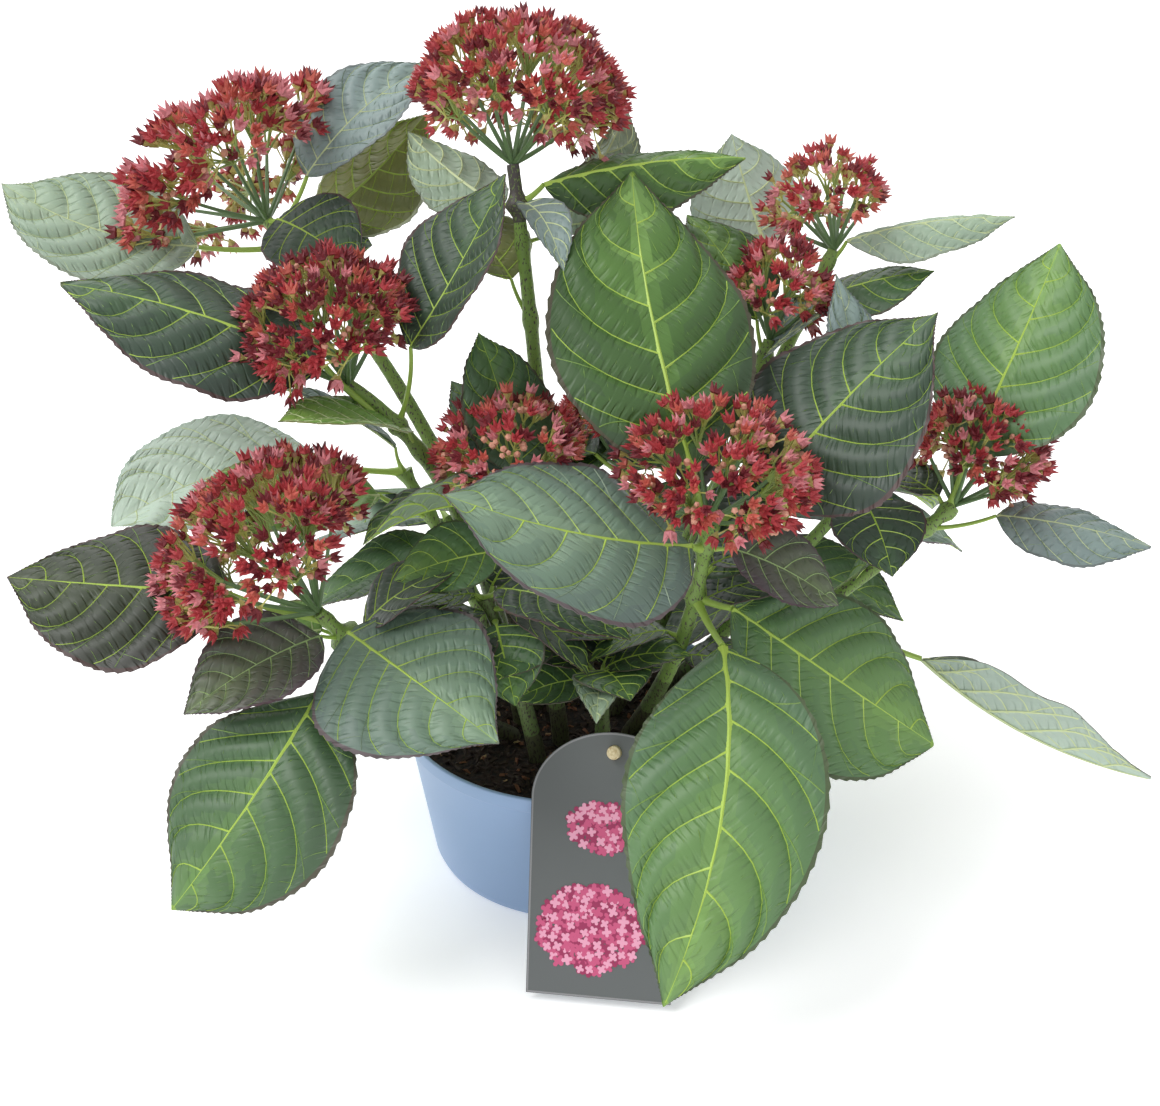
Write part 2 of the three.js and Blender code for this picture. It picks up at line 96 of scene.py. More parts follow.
def turned(vector: Array, axis: Array, angle: float) -> Array:
    """Turns a vector about a unit axis by an angle in radians, by the right-hand rule."""
    cosine, sine = math.cos(angle), math.sin(angle)
    return vector * cosine + np.cross(axis, vector) * sine + axis * np.dot(axis, vector) * (1 - cosine)


def bezier(start: Array, bend: Array, end: Array, share: Array) -> Array:
    """Gives the points of a quadratic curve at shares of it, with one more axis than the shares have."""
    s = np.asarray(share, float)[..., None]
    return (1 - s) ** 2 * start + 2 * s * (1 - s) * bend + s**2 * end


def bezier_way(start: Array, bend: Array, end: Array, share: Array) -> Array:
    """Gives the unit tangents of a quadratic curve at shares of it."""
    s = np.asarray(share, float)[..., None]
    return unit((1 - s) * (bend - start) + s * (end - bend))


def linear(colour: str) -> tuple[float, float, float, float]:
    """Turns an sRGB hex colour to linear red, green, blue and alpha."""
    parts = [int(colour[k : k + 2], 16) / 255 for k in (1, 3, 5)]
    red, green, blue = (v / 12.92 if v <= 0.04045 else ((v + 0.055) / 1.055) ** 2.4 for v in parts)
    return red, green, blue, 1.0


def between(first: str, second: str, share: float) -> str:
    """Gives the hex colour at a share of the way from the first to the second."""
    pairs = ((int(first[k : k + 2], 16), int(second[k : k + 2], 16)) for k in (1, 3, 5))
    return "#" + "".join(f"{round(a + (b - a) * share):02x}" for a, b in pairs)


class Draw:
    """A row of numbers from 0 to 1 that is the same for the same seed, as the solids' rule draws them."""

    def __init__(self, seed: int) -> None:
        """Starts the row at a seed."""
        self.state = seed

    def __call__(self) -> float:
        """Draws the next number."""
        self.state = (self.state * 1664525 + 1013904223) % 4294967296
        return self.state / 4294967296


# ---- nodes and materials


def add_node(tree: Any, kind: str, settings: Named | None = None, inputs: Named | None = None) -> Any:
    """Adds a node with its settings and its inputs.

    Args:
        tree: the node tree to add it to.
        kind: the node's type.
        settings: properties of the node by name.
        inputs: values, or sockets to link from, by the input's identifier or name.

    Returns:
        The node.
    """
    node = tree.nodes.new(kind)
    for name, value in (settings or {}).items():
        setattr(node, name, value)
    for name, value in (inputs or {}).items():
        found = [s for s in node.inputs if s.identifier == name] or [s for s in node.inputs if s.name == name]
        socket = next((s for s in found if s.enabled), found[0])
        if isinstance(value, bpy.types.NodeSocket):
            tree.links.new(value, socket)
        else:
            socket.default_value = value
    return node


def new_material(name: str, colour: str | None, **shader_inputs: Any) -> tuple[Any, Any, Any]:
    """Makes a material with one principled shader.

    Args:
        name: the material's name.
        colour: its plain sRGB hex colour, or None where nodes give it.
        **shader_inputs: values of the shader's own sockets, with underscores for spaces.

    Returns:
        The material, its tree and its shader.
    """
    material = bpy.data.materials.new(name)
    material.use_nodes = True
    tree = material.node_tree
    shader = tree.nodes["Principled BSDF"]
    if colour is not None:
        shader.inputs["Base Color"].default_value = linear(colour)
    for key, value in shader_inputs.items():
        shader.inputs[key.replace("_", " ")].default_value = value
    return material, tree, shader


def link_bump(tree: Any, shader: Any, height: Any, strength: float, depth: float) -> None:
    """Gives a shader a bump from a height from 0 to 1, with the relief's real depth in metres."""
    bump = add_node(tree, "ShaderNodeBump", None, {"Height": height, "Strength": strength, "Distance": depth})
    tree.links.new(bump.outputs["Normal"], shader.inputs["Normal"])


def link_roughness(tree: Any, shader: Any, value: Any, low: float, high: float) -> None:
    """Lets a value from 0 to 1 vary a shader's roughness between low and high."""
    spread = add_node(tree, "ShaderNodeMapRange", None, {"Value": value, "To Min": low, "To Max": high})
    tree.links.new(spread.outputs["Result"], shader.inputs["Roughness"])


def reckon(tree: Any, operation: str, *terms: Any) -> Any:
    """Adds a node of arithmetic to a material's tree.

    Args:
        tree: the material's node tree.
        operation: what is done.
        terms: the sockets or numbers it is done to.

    Returns:
        The socket of the result.
    """
    node = add_node(tree, "ShaderNodeMath", {"operation": operation})
    for socket, term in zip(node.inputs, terms):
        if isinstance(term, (int, float)):
            socket.default_value = term
        else:
            tree.links.new(term, socket)
    return node.outputs["Value"]


def noise(tree: Any, scale: float, detail: float = 3.0, vector: Any = None) -> Any:
    """Adds a noise on Object coordinates, or on the vector given, and gives its value's socket."""
    if vector is None:
        vector = add_node(tree, "ShaderNodeTexCoord").outputs["Object"]
    inputs = {"Vector": vector, "Scale": scale, "Detail": detail}
    return add_node(tree, "ShaderNodeTexNoise", None, inputs).outputs["Fac"]


def drawn_out(tree: Any, stretch: Point) -> Any:
    """Gives the socket of Object coordinates scaled along each axis, so that a grain is drawn out."""
    place = add_node(tree, "ShaderNodeTexCoord").outputs["Object"]
    return add_node(tree, "ShaderNodeMapping", None, {"Vector": place, "Scale": stretch}).outputs["Vector"]


def ranged(tree: Any, value: Any, **ends: float) -> Any:
    """Gives the socket of a value mapped smoothly from one range to another, told by their ends' names."""
    inputs = {"Value": value, **{name.replace("_", " "): end for name, end in ends.items()}}
    node = add_node(tree, "ShaderNodeMapRange", {"interpolation_type": "SMOOTHSTEP"}, inputs)
    return node.outputs["Result"]


def link_ramp(tree: Any, shader: Any, value: Any, low: tuple[float, str], high: tuple[float, str]) -> None:
    """Lets a value from 0 to 1 blend a shader's colour from one plain colour to another.

    Args:
        tree: the material's node tree.
        shader: the shader to colour.
        value: the socket of the value.
        low: where the blend starts, and its sRGB hex colour there.
        high: where it ends, and its colour there.
    """
    ramp = add_node(tree, "ShaderNodeValToRGB", None, {"Fac": value})
    for element, (place, colour) in zip(ramp.color_ramp.elements, (low, high)):
        element.position, element.color = place, linear(colour)
    tree.links.new(ramp.outputs["Color"], shader.inputs["Base Color"])


@dataclass(frozen=True)
class LaminaFinish:
    """The blade of a hydrangea leaf, a living waxy skin: satin, and finely quilted between its ribs."""

    name: str
    colour: str
    roughness: float = 0.45
    crease_width: float = 0.3
    relief_share: float = 0.55
    relief_depth: float = 0.0011

    def material(self) -> Any:
        """Makes the material. Creases about 5 mm apart run in from each side rib and fade between two."""
        material, tree, shader = new_material(self.name, self.colour, Specular_IOR_Level=0.48)
        lie = add_node(tree, "ShaderNodeUVMap", {"uv_map": LIE}).outputs["UV"]
        parts = add_node(tree, "ShaderNodeSeparateXYZ", None, {"Vector": lie})
        stray = add_node(tree, "ShaderNodeTexNoise", None, {"Vector": lie, "Scale": 1.3, "Detail": 1.0})
        sway = reckon(tree, "MULTIPLY_ADD", stray.outputs["Fac"], 1.3, parts.outputs["Y"])
        wall = ranged(tree, reckon(tree, "PINGPONG", sway, 0.5), From_Max=self.crease_width)
        near = reckon(tree, "PINGPONG", parts.outputs["X"], 0.5)
        fade = ranged(tree, near, From_Min=0.1, From_Max=0.46, To_Min=1.0, To_Max=0.12)
        hollow = reckon(tree, "MULTIPLY", reckon(tree, "SUBTRACT", wall, 1.0), fade)
        link_bump(tree, shader, hollow, self.relief_share, self.relief_depth)
        link_roughness(tree, shader, noise(tree, 60.0), self.roughness - 0.06, self.roughness + 0.08)
        return material


@dataclass(frozen=True)
class RibFinish:
    """The ribs and stalks of a leaf: smooth, juicy and paler than the blade, with a soft shine."""

    name: str
    colour: str

    def material(self) -> Any:
        """Makes the material. Its colour is plain, and a fine grain breaks its shine."""
        material, tree, shader = new_material(self.name, self.colour, Specular_IOR_Level=0.5)
        grain = noise(tree, 900.0)
        link_bump(tree, shader, grain, 0.3, 0.0002)
        link_roughness(tree, shader, grain, 0.36, 0.5)
        return material


@dataclass(frozen=True)
class CaneFinish:
    """A half-woody green stem: a smooth skin with raised dark specks, more of them where it is older."""

    name: str
    colour: str
    speck: str
    speck_share: float

    def material(self) -> Any:
        """Makes the material. The specks are about 1 mm long, drawn out along the stem."""
        material, tree, shader = new_material(self.name, None, Specular_IOR_Level=0.45)
        specks = noise(tree, 1100.0, 1.0, drawn_out(tree, (1.0, 1.0, 0.45)))
        edge = 0.5 + 0.12 * (1 - 2 * self.speck_share)
        inputs = {"Value": specks, "From Min": edge, "From Max": edge + 0.05}
        marked = add_node(tree, "ShaderNodeMapRange", None, inputs).outputs["Result"]
        mix = add_node(
            tree,
            "ShaderNodeMix",
            {"data_type": "RGBA"},
            {"Factor_Float": marked, "A_Color": linear(self.colour), "B_Color": linear(self.speck)},
        )
        tree.links.new(mix.outputs[2], shader.inputs["Base Color"])
        link_bump(tree, shader, marked, 0.4, 0.0003)
        link_roughness(tree, shader, specks, 0.38, 0.55)
        return material


@dataclass(frozen=True)
class FloretFinish:
    """The sepals of a fading floret: thin, leathery and a little waxy."""

    name: str
    colour: str

    def material(self) -> Any:
        """Makes the material. A fine crinkle breaks its shine."""
        material, tree, shader = new_material(self.name, self.colour, Specular_IOR_Level=0.45)
        crinkle = noise(tree, 700.0)
        link_bump(tree, shader, crinkle, 0.4, 0.0003)
        link_roughness(tree, shader, crinkle, 0.4, 0.6)
        return material


@dataclass(frozen=True)
class MouldedFinish:
    """Injection-moulded polypropylene: matt, with a very fine grain and soft, wide highlights."""

    name: str
    colour: str
    roughness: float

    def material(self) -> Any:
        """Makes the material. The grain is about 0.5 mm, drawn at 1.5 mm so that it shows."""
        material, tree, shader = new_material(self.name, self.colour, IOR=1.49)
        link_bump(tree, shader, noise(tree, 700.0, 2.0), 0.12, 0.0002)
        link_roughness(tree, shader, noise(tree, 18.0), self.roughness - 0.05, self.roughness + 0.07)
        return material


@dataclass(frozen=True)
class PrintedFinish:
    """Laminated printed card: an even ink under a clear film that is never quite flat."""

    name: str
    colour: str

    def material(self) -> Any:
        """Makes the material. The film's slow waves are about 30 mm long."""
        material, tree, shader = new_material(self.name, self.colour, IOR=1.5)
        link_bump(tree, shader, noise(tree, 35.0, 1.0), 0.15, 0.001)
        link_roughness(tree, shader, noise(tree, 120.0), 0.3, 0.4)
        return material


@dataclass(frozen=True)
class WoodFinish:
    """Planed pale wood: fine straight grain along its length."""

    name: str
    pale: str
    dark: str

    def material(self) -> Any:
        """Makes the material. The grain lines are about 1 mm apart."""
        material, tree, shader = new_material(self.name, None, Specular_IOR_Level=0.35)
        grain = noise(tree, 900.0, vector=drawn_out(tree, (1.0, 0.2, 1.0)))
        link_ramp(tree, shader, grain, (0.3, self.dark), (0.6, self.pale))
        link_bump(tree, shader, grain, 0.3, 0.0002)
        link_roughness(tree, shader, grain, 0.5, 0.7)
        return material


@dataclass(frozen=True)
class CompostFinish:
    """Damp peat and composted bark: dark, crumbly and dull, with paler fibres."""

    name: str
    dark: str
    pale: str

    def material(self) -> Any:
        """Makes the material. Its crumbs are about 3 mm across."""
        material, tree, shader = new_material(self.name, None, Specular_IOR_Level=0.3)
        crumbs = noise(tree, 330.0, 6.0)
        link_ramp(tree, shader, crumbs, (0.42, self.dark), (0.72, self.pale))
        link_bump(tree, shader, crumbs, 0.9, 0.002)
        link_roughness(tree, shader, crumbs, 0.75, 0.95)
        return material


# ---- meshes


class Patchwork:
    """Points, faces, finishes and the lie of a surface, gathered for one mesh piece."""

    def __init__(self) -> None:
        """Starts empty."""
        self.points: list[Array] = []
        self.faces: list[tuple[int, ...]] = []
        self.slots: list[int] = []
        self.lies: list[Array] = []
        self.finishes: list[Any] = []
        self.count = 0

    def slot(self, finish: Any) -> int:
        """Gives the place of a finish in the piece's list, and adds it if it is new."""
        if finish not in self.finishes:
            self.finishes.append(finish)
        return self.finishes.index(finish)

    def add(
        self, points: Array, faces: Iterable[Sequence[int]], finish: Any, lie: Array | None = None
    ) -> None:
        """Adds a patch.

        Args:
            points: its points, one a row, in millimetres.
            faces: its faces, as rows of the patch's own point numbers.
            finish: one finish for the patch, or a list with one for each face.
            lie: a pair for each point that tells how a pattern lies on it.
        """
        patch = [tuple(int(k) + self.count for k in face) for face in faces]
        chosen = finish if isinstance(finish, list) else [finish] * len(patch)
        self.points.append(np.asarray(points, float).reshape(-1, 3))
        self.faces.extend(patch)
        self.slots.extend(self.slot(one) for one in chosen)
        self.lies.append(np.zeros((len(self.points[-1]), 2)) if lie is None else lie)
        self.count += len(self.points[-1])

    def add_mesh(self, mesh: Any) -> None:
        """Adds a mesh in metres whose materials' names are those of finishes made before."""
        points = np.zeros(len(mesh.vertices) * 3)
        mesh.vertices.foreach_get("co", points)
        materials = [Finishes.named(m.name) if m else None for m in mesh.materials]
        faces = [tuple(face.vertices) for face in mesh.polygons]
        chosen = [materials[face.material_index] for face in mesh.polygons]
        self.add(points.reshape(-1, 3) / MM, faces, chosen)

    def piece(self, name: str, slot: str, replaced: Sequence[str] = (), sharp: float = 50.0) -> None:
        """Makes the piece, lets it ride on the body, and hides the nodes that it stands for.

        Args:
            name: the piece's name.
            slot: the record's material slot; not used.
            replaced: the nodes that the piece stands for.
            sharp: the angle in degrees past which an edge stays sharp.
        """
        mesh = bpy.data.meshes.new(name)
        mesh.from_pydata((np.concatenate(self.points) * MM).tolist(), [], self.faces)
        for finish in self.finishes:
            mesh.materials.append(Finishes.of(finish))
        mesh.polygons.foreach_set("material_index", self.slots)
        mesh.polygons.foreach_set("use_smooth", [True] * len(mesh.polygons))
        corners = np.zeros(len(mesh.loops), int)
        mesh.loops.foreach_get("vertex_index", corners)
        layer = mesh.uv_layers.new(name=LIE)
        layer.data.foreach_set("uv", np.concatenate(self.lies)[corners].ravel())
        mesh.set_sharp_from_angle(angle=math.radians(sharp))
        mesh.validate()
        piece = bpy.data.objects.new(name, mesh)
        bpy.context.scene.collection.objects.link(piece)
        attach(piece, BODY)
        if replaced:
            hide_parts(*replaced)
        log.info("%s: %d faces", name, len(mesh.polygons))


class Finishes:
    """The materials made so far, one for each finish."""

    made: dict[str, Any] = {}
    finishes: dict[str, Any] = {}

    @classmethod
    def of(cls, finish: Any) -> Any:
        """Gives the material of a finish, made once."""
        if finish.name not in cls.made:
            cls.made[finish.name] = finish.material()
            cls.finishes[finish.name] = finish
        return cls.made[finish.name]

    @classmethod
    def named(cls, name: str) -> Any:
        """Gives the finish of a name."""
        return cls.finishes[name]


def circle(corners: int) -> Array:
    """Gives the turns, in radians, of evenly spaced corners round a ring."""
    return 2 * np.pi * np.arange(corners) / corners


def ring_faces(rings: int, corners: int) -> Faces:
    """Gives the faces of a closed bar whose points are rings, one after another, with a face on each end."""
    faces: Faces = []
    for low in range(0, (rings - 1) * corners, corners):
        high = low + corners
        for k in range(corners):
            after = (k + 1) % corners
            faces.append((low + k, low + after, high + after, high + k))
    faces.append(tuple(range(corners - 1, -1, -1)))
    faces.append(tuple(range((rings - 1) * corners, rings * corners)))
    return faces


def loft(
    centres: Array, sides: Array, ups: Array, widths: Array, heights: Array, corners: int
) -> tuple[Array, Faces]:
    """Makes a closed bar of oval rings along a path.

    Args:
        centres: the middle of each ring.
        sides: each ring's first unit axis.
        ups: each ring's second unit axis, so that side and up turn towards the way along.
        widths: half the width of each ring along side.
        heights: half its height along up.
        corners: the corners of a ring.

    Returns:
        The points and the faces.
    """
    turn = circle(corners)
    spread = np.cos(turn)[None, :, None] * sides[:, None, :] * np.asarray(widths)[:, None, None]
    rise = np.sin(turn)[None, :, None] * ups[:, None, :] * np.asarray(heights)[:, None, None]
    points = (centres[:, None, :] + spread + rise).reshape(-1, 3)
    return points, ring_faces(len(centres), corners)


def tube(centres: Array, radii: Array, corners: int) -> tuple[Array, Faces]:
    """Makes a closed round tube along a path of points.

    Args:
        centres: the points of the path.
        radii: the tube's radius at each.
        corners: the corners of its rings.

    Returns:
        The points and the faces.
    """
    way = unit(np.gradient(centres, axis=0))
    side = np.cross(np.array([0.31, 0.95, 0.05]), way[0])
    sides = []
    for along in way:
        side = unit(side - along * np.dot(side, along))
        sides.append(side)
    sides = np.array(sides)
    return loft(centres, sides, np.cross(way, sides), radii, radii, corners)


def lathe(profile: Sequence[tuple[float, float]], corners: int) -> tuple[Array, Faces]:
    """Makes a closed solid of revolution about Z, with flat ends.

    Args:
        profile: points of [radius, height], from the middle of the underside outwards and up.
        corners: the corners of its rings.

    Returns:
        The points and the faces.
    """
    turn = circle(corners)
    rings = [np.stack([r * np.cos(turn), r * np.sin(turn), np.full(corners, z)], axis=1) for r, z in profile]
    return np.concatenate(rings), ring_faces(len(profile), corners)


# ---- geometry nodes


class Recipe:
    """A Geometry Nodes tree with named inputs, and the way to run it on a mesh."""

    def __init__(self, name: str) -> None:
        """Makes the tree with its geometry input and output."""
        self.tree = bpy.data.node_groups.new(name, "GeometryNodeTree")
        self.ids: dict[str, str] = {}
        self.add_inputs(Geometry="Geometry")
        self.tree.interface.new_socket("Geometry", in_out="OUTPUT", socket_type="NodeSocketGeometry")
        self.entry = self.tree.nodes.new("NodeGroupInput")
        self.exit = self.tree.nodes.new("NodeGroupOutput")

    def add_inputs(self, **kinds: str) -> None:
        """Adds named inputs, each with the end of its socket type's name."""
        for name, kind in kinds.items():
            socket = self.tree.interface.new_socket(name, in_out="INPUT", socket_type="NodeSocket" + kind)
            self.ids[name] = socket.identifier

    def add(self, kind: str, settings: Named | None = None, inputs: Named | None = None) -> Any:
        """Adds a node to the tree."""
        return add_node(self.tree, kind, settings, inputs)

    def told(self, name: str, kind: str) -> Any:
        """Gives the socket of an attribute that the points carry, by its name and data type."""
        node = self.add("GeometryNodeInputNamedAttribute", {"data_type": kind}, {"Name": name})
        return node.outputs["Attribute"]

    def drawn(self, inputs: Named, kind: str = "FLOAT") -> Any:
        """Gives the socket of a random value for each point, seeded by the recipe's seed."""
        inputs = {**inputs, "Seed": self.take("Seed")}
        outputs = self.add("FunctionNodeRandomValue", {"data_type": kind}, inputs).outputs
        return outputs[0 if kind == "FLOAT_VECTOR" else 1]

    def reckoned(self, operation: str, first: Any, second: Any) -> Any:
        """Gives the socket of a sum, difference or product of two sockets or numbers."""
        inputs = {"Value": first, "Value_001": second}
        return self.add("ShaderNodeMath", {"operation": operation}, inputs).outputs["Value"]

    def turned_by(self, rotation: Any, more: Any) -> Any:
        """Gives the socket of a rotation turned further in its own axes."""
        inputs = {"Rotation": rotation, "Rotate By": more}
        node = self.add("FunctionNodeRotateRotation", {"rotation_space": "LOCAL"}, inputs)
        return node.outputs["Rotation"]

    def set_things(self, points: Any, rotation: Any, size: Any) -> None:
        """Ends the tree with a copy of the input Thing on each point.

        Args:
            points: the socket of the points.
            rotation: the socket of the copies' rotation.
            size: the socket of their scale.
        """
        thing = self.add("GeometryNodeObjectInfo", None, {"Object": self.take("Thing"), "As Instance": True})
        inputs = {
            "Points": points, "Instance": thing.outputs["Geometry"], "Rotation": rotation, "Scale": size,
        }
        self.end(self.add("GeometryNodeInstanceOnPoints", None, inputs).outputs["Instances"])

    def take(self, name: str) -> Any:
        """Gives the socket of a named input."""
        return next(s for s in self.entry.outputs if s.identifier == self.ids[name])

    def end(self, geometry: Any) -> None:
        """Ends the tree with its instances realized and its material set."""
        real = self.add("GeometryNodeRealizeInstances", None, {"Geometry": geometry}).outputs["Geometry"]
        inputs = {"Geometry": real, "Material": self.take("Material")}
        dressed = self.add("GeometryNodeSetMaterial", None, inputs)
        self.tree.links.new(dressed.outputs["Geometry"], self.exit.inputs[0])

    def run(self, mesh: Any, values: dict[str, Any]) -> Any:
        """Runs the tree on a mesh.

        Args:
            mesh: the mesh that goes in.
            values: the named inputs' values.

        Returns:
            The plain mesh that comes out.
        """
        holder = bpy.data.objects.new("holder", mesh)
        bpy.context.scene.collection.objects.link(holder)
        modifier = holder.modifiers.new("recipe", "NODES")
        modifier.node_group = self.tree
        for name, value in values.items():
            modifier[self.ids[name]] = value
        depsgraph = bpy.context.evaluated_depsgraph_get()
        made = bpy.data.meshes.new_from_object(holder.evaluated_get(depsgraph), depsgraph=depsgraph)
        holder.modifiers.remove(modifier)
        bpy.data.objects.remove(holder)
        return made


def sprig_recipe() -> Recipe:
    """Makes the tree that turns lines into thin round stalks of a girth told at each point."""
    recipe = Recipe("sprigs")
    recipe.add_inputs(Corners="Int", Material="Material")
    lines = recipe.add("GeometryNodeMeshToCurve", None, {"Mesh": recipe.take("Geometry")})
    inputs = {"Resolution": recipe.take("Corners"), "Radius": 1.0}
    ring = recipe.add("GeometryNodeCurvePrimitiveCircle", None, inputs)
    inputs = {
        "Curve": lines.outputs["Curve"],
        "Profile Curve": ring.outputs["Curve"],
        "Scale": recipe.told("girth", "FLOAT"),
        "Fill Caps": True,
    }
    recipe.end(recipe.add("GeometryNodeCurveToMesh", None, inputs).outputs["Mesh"])
    return recipe


def scatter_recipe() -> Recipe:
    """Makes the tree that sets copies of an object on points, each facing the way told at its point."""
    recipe = Recipe("set on points")
    recipe.add_inputs(Thing="Object", Size="Float", Spread="Float", Seed="Int", Material="Material")
    inputs = {"Vector": recipe.told("facing", "FLOAT_VECTOR")}
    turn = recipe.add("FunctionNodeAlignRotationToVector", {"axis": "Z"}, inputs).outputs["Rotation"]
    spin = recipe.drawn({"Max_001": 2 * math.pi})
    about = recipe.add("FunctionNodeAxisAngleToRotation", None, {"Axis": (0, 0, 1), "Angle": spin})
    index = recipe.add("GeometryNodeInputIndex").outputs["Index"]
    least = recipe.reckoned("SUBTRACT", 1.0, recipe.take("Spread"))
    share = recipe.drawn({"Min_001": least, "Max_001": 1.0, "ID": index})
    size = recipe.reckoned("MULTIPLY", share, recipe.take("Size"))
    recipe.set_things(recipe.take("Geometry"), recipe.turned_by(turn, about.outputs["Rotation"]), size)
    return recipe


def litter_recipe() -> Recipe:
    """Makes the tree that strews copies of an object over a surface, lying as it does but turned about."""
    recipe = Recipe("litter")
    recipe.add_inputs(
        Thing="Object", Apart="Float", Density="Float", Seed="Int",
        Tilt="Float", Least="Float", Most="Float", Material="Material",
    )
    inputs = {
        "Mesh": recipe.take("Geometry"),
        "Distance Min": recipe.take("Apart"),
        "Density Max": recipe.take("Density"),
        "Seed": recipe.take("Seed"),
    }
    strewn = recipe.add("GeometryNodeDistributePointsOnFaces", {"distribute_method": "POISSON"}, inputs)
    tilt = recipe.take("Tilt")
    low = recipe.reckoned("MULTIPLY", tilt, -1.0)
    least = recipe.add("ShaderNodeCombineXYZ", None, {"X": low, "Y": low, "Z": 0.0})
    most = recipe.add("ShaderNodeCombineXYZ", None, {"X": tilt, "Y": tilt, "Z": 2 * math.pi})
    turn = recipe.drawn({"Min": least.outputs["Vector"], "Max": most.outputs["Vector"]}, "FLOAT_VECTOR")
    about = recipe.add("FunctionNodeEulerToRotation", None, {"Euler": turn}).outputs["Rotation"]
    size = recipe.drawn({"Min_001": recipe.take("Least"), "Max_001": recipe.take("Most")})
    lying = recipe.turned_by(strewn.outputs["Rotation"], about)
    recipe.set_things(strewn.outputs["Points"], lying, size)
    return recipe


def template(name: str, points: Array, faces: Sequence[Sequence[int]]) -> Any:
    """Makes an object outside the scene, in metres, that a recipe copies."""
    mesh = bpy.data.meshes.new(name)
    mesh.from_pydata((np.asarray(points, float) * MM).tolist(), [], [tuple(face) for face in faces])
    return bpy.data.objects.new(name, mesh)


# ---- colours of the plant

RIB_LIME = RibFinish("lime leaf rib", "#a8c452")
RUNG_LIME = RibFinish("green leaf rung", "#7b9a4f")
RIB_PALE = RibFinish("pale leaf rib", "#c3cf9c")
RIB_DULL = RibFinish("dull green leaf rib", "#93ad70")
RUNG_DULL = RibFinish("dull leaf rung", "#75896e")
STALK = RibFinish("lime leaf stalk", "#9dbb55")
ARM = RibFinish("dark green flower arm", "#5f7a4f")
SPOKE = RibFinish("green flower spoke", "#8c9f55")
PEDICEL = RibFinish("lime flower stalk", "#b9bb68")
CALYX = RibFinish("russet lime calyx", "#bcb06a")
BUD = FloretFinish("closed russet bud", "#c48c76")
CANE_GREEN = CaneFinish("speckled green cane", "#79964a", "#4d4440", 0.14)
CANE_DARK = CaneFinish("dark young cane", "#4c4644", "#6c8048", 0.2)
# The browning and browned cane finishes are darker and browner towards each cane's foot. This is partly real
# browning of older wood and partly painted shade under the foliage. The browning one also colours the whole
# cane of the shoots in shade, as painted shade.
CANE_BROWNING_SHADED = CaneFinish("browning cane", "#5e7240", "#41392f", 0.24)
CANE_BROWNED_SHADED = CaneFinish("older browned cane", "#484c32", "#2f2822", 0.32)
SEPALS = (
    FloretFinish("crimson sepal", "#a93b40"),
    FloretFinish("dark crimson sepal", "#74272f"),
    FloretFinish("rose sepal", "#cf8288"),
    FloretFinish("russet sepal", "#bf6053"),
)
SEPAL_SHARES = (0.38, 0.22, 0.2, 0.2)


@dataclass(frozen=True)
class Tints:
    """The colours of a leaf from its heart by the ribs to its margin, with its rim, tip and ribs."""

    heart: str
    field: str
    margin: str
    rim: str
    tip: str
    rib: RibFinish = RIB_LIME
    rung: RibFinish = RUNG_LIME
    steps: int = 8

    def ladder(self, name: str) -> list[LaminaFinish]:
        """Gives the finishes from heart to margin, and last the rim's and the tip's."""
        shares = [k / (self.steps - 1) for k in range(self.steps)]
        colours = [
            between(self.heart, self.field, 2 * s) if s < 0.5 else between(self.field, self.margin, 2 * s - 1)
            for s in shares
        ]
        colours += [self.rim, self.tip]
        return [LaminaFinish(f"{name.lower()} leaf {k}", colour) for k, colour in enumerate(colours)]


class Look(Enum):
    """The ways in which a leaf is coloured."""

    GREEN = Tints("#98c068", "#45682b", "#3a5234", "#4c4a38", "#86a648")
    FRESH = Tints("#7ba052", "#5d7f4b", "#52704f", "#4c5a3c", "#80a44a")
    DEEP = Tints("#4f6d47", "#374b38", "#313f36", "#4b3a38", "#55603c")
    # The slate look is partly the leaf's own grey-green and partly painted sheen: lighter and bluer, as if
    # the bright surroundings reflect on the waxy leaf.
    SLATE = Tints("#8ea888", "#6e8671", "#5c6e66", "#5c5254", "#6c7864", RIB_LIME, RUNG_DULL)
    PURPLE = Tints("#66784e", "#545c49", "#50484c", "#503f46", "#524848", RIB_DULL, RUNG_DULL)
    BRONZE = Tints("#424f2f", "#303a27", "#31332c", "#3f2b27", "#44342b")
    MOSS = Tints("#688e48", "#486641", "#41573f", "#4c4a3c", "#7c9c44")
    SAGE = Tints("#a2b698", "#92a78f", "#8c9d8c", "#808c78", "#929d86", RIB_PALE, RIB_PALE)
    MINT = Tints("#bacdbb", "#abbdad", "#a1b2a5", "#a2b4a6", "#b0c0b0", RIB_PALE, RIB_PALE)
    MIST = Tints("#90a398", "#7f928e", "#778684", "#6a7472", "#707c7c", RIB_PALE, RUNG_DULL)
    OLIVE = Tints("#98a05c", "#868d54", "#7d8458", "#b8c0a0", "#848858", RIB_LIME, RIB_LIME)
    BRIGHT = Tints("#8cae54", "#729846", "#6b9046", "#757844", "#88a848", RIB_PALE, RIB_PALE)
    UNDERSIDE = Tints("#98aa8c", "#84987e", "#7c907a", "#707e6c", "#809078", RIB_PALE, RIB_PALE)


PALE_LOOKS = (Look.SAGE, Look.MINT, Look.MIST, Look.OLIVE)


# ---- the shrub's rule


@dataclass(frozen=True)
class Crown:
    """The leaning axes in which leaf tips are placed."""

    centre_height: float = 180.0
    lean: float = math.radians(27)

    def point(self, across: float, up: float, deep: float) -> Array:
        """Gives the point at distances across, up and deep in the leaning axes."""
        cosine, sine = math.cos(self.lean), math.sin(self.lean)
        return np.array([across, cosine * deep + sine * up, self.centre_height - sine * deep + cosine * up])


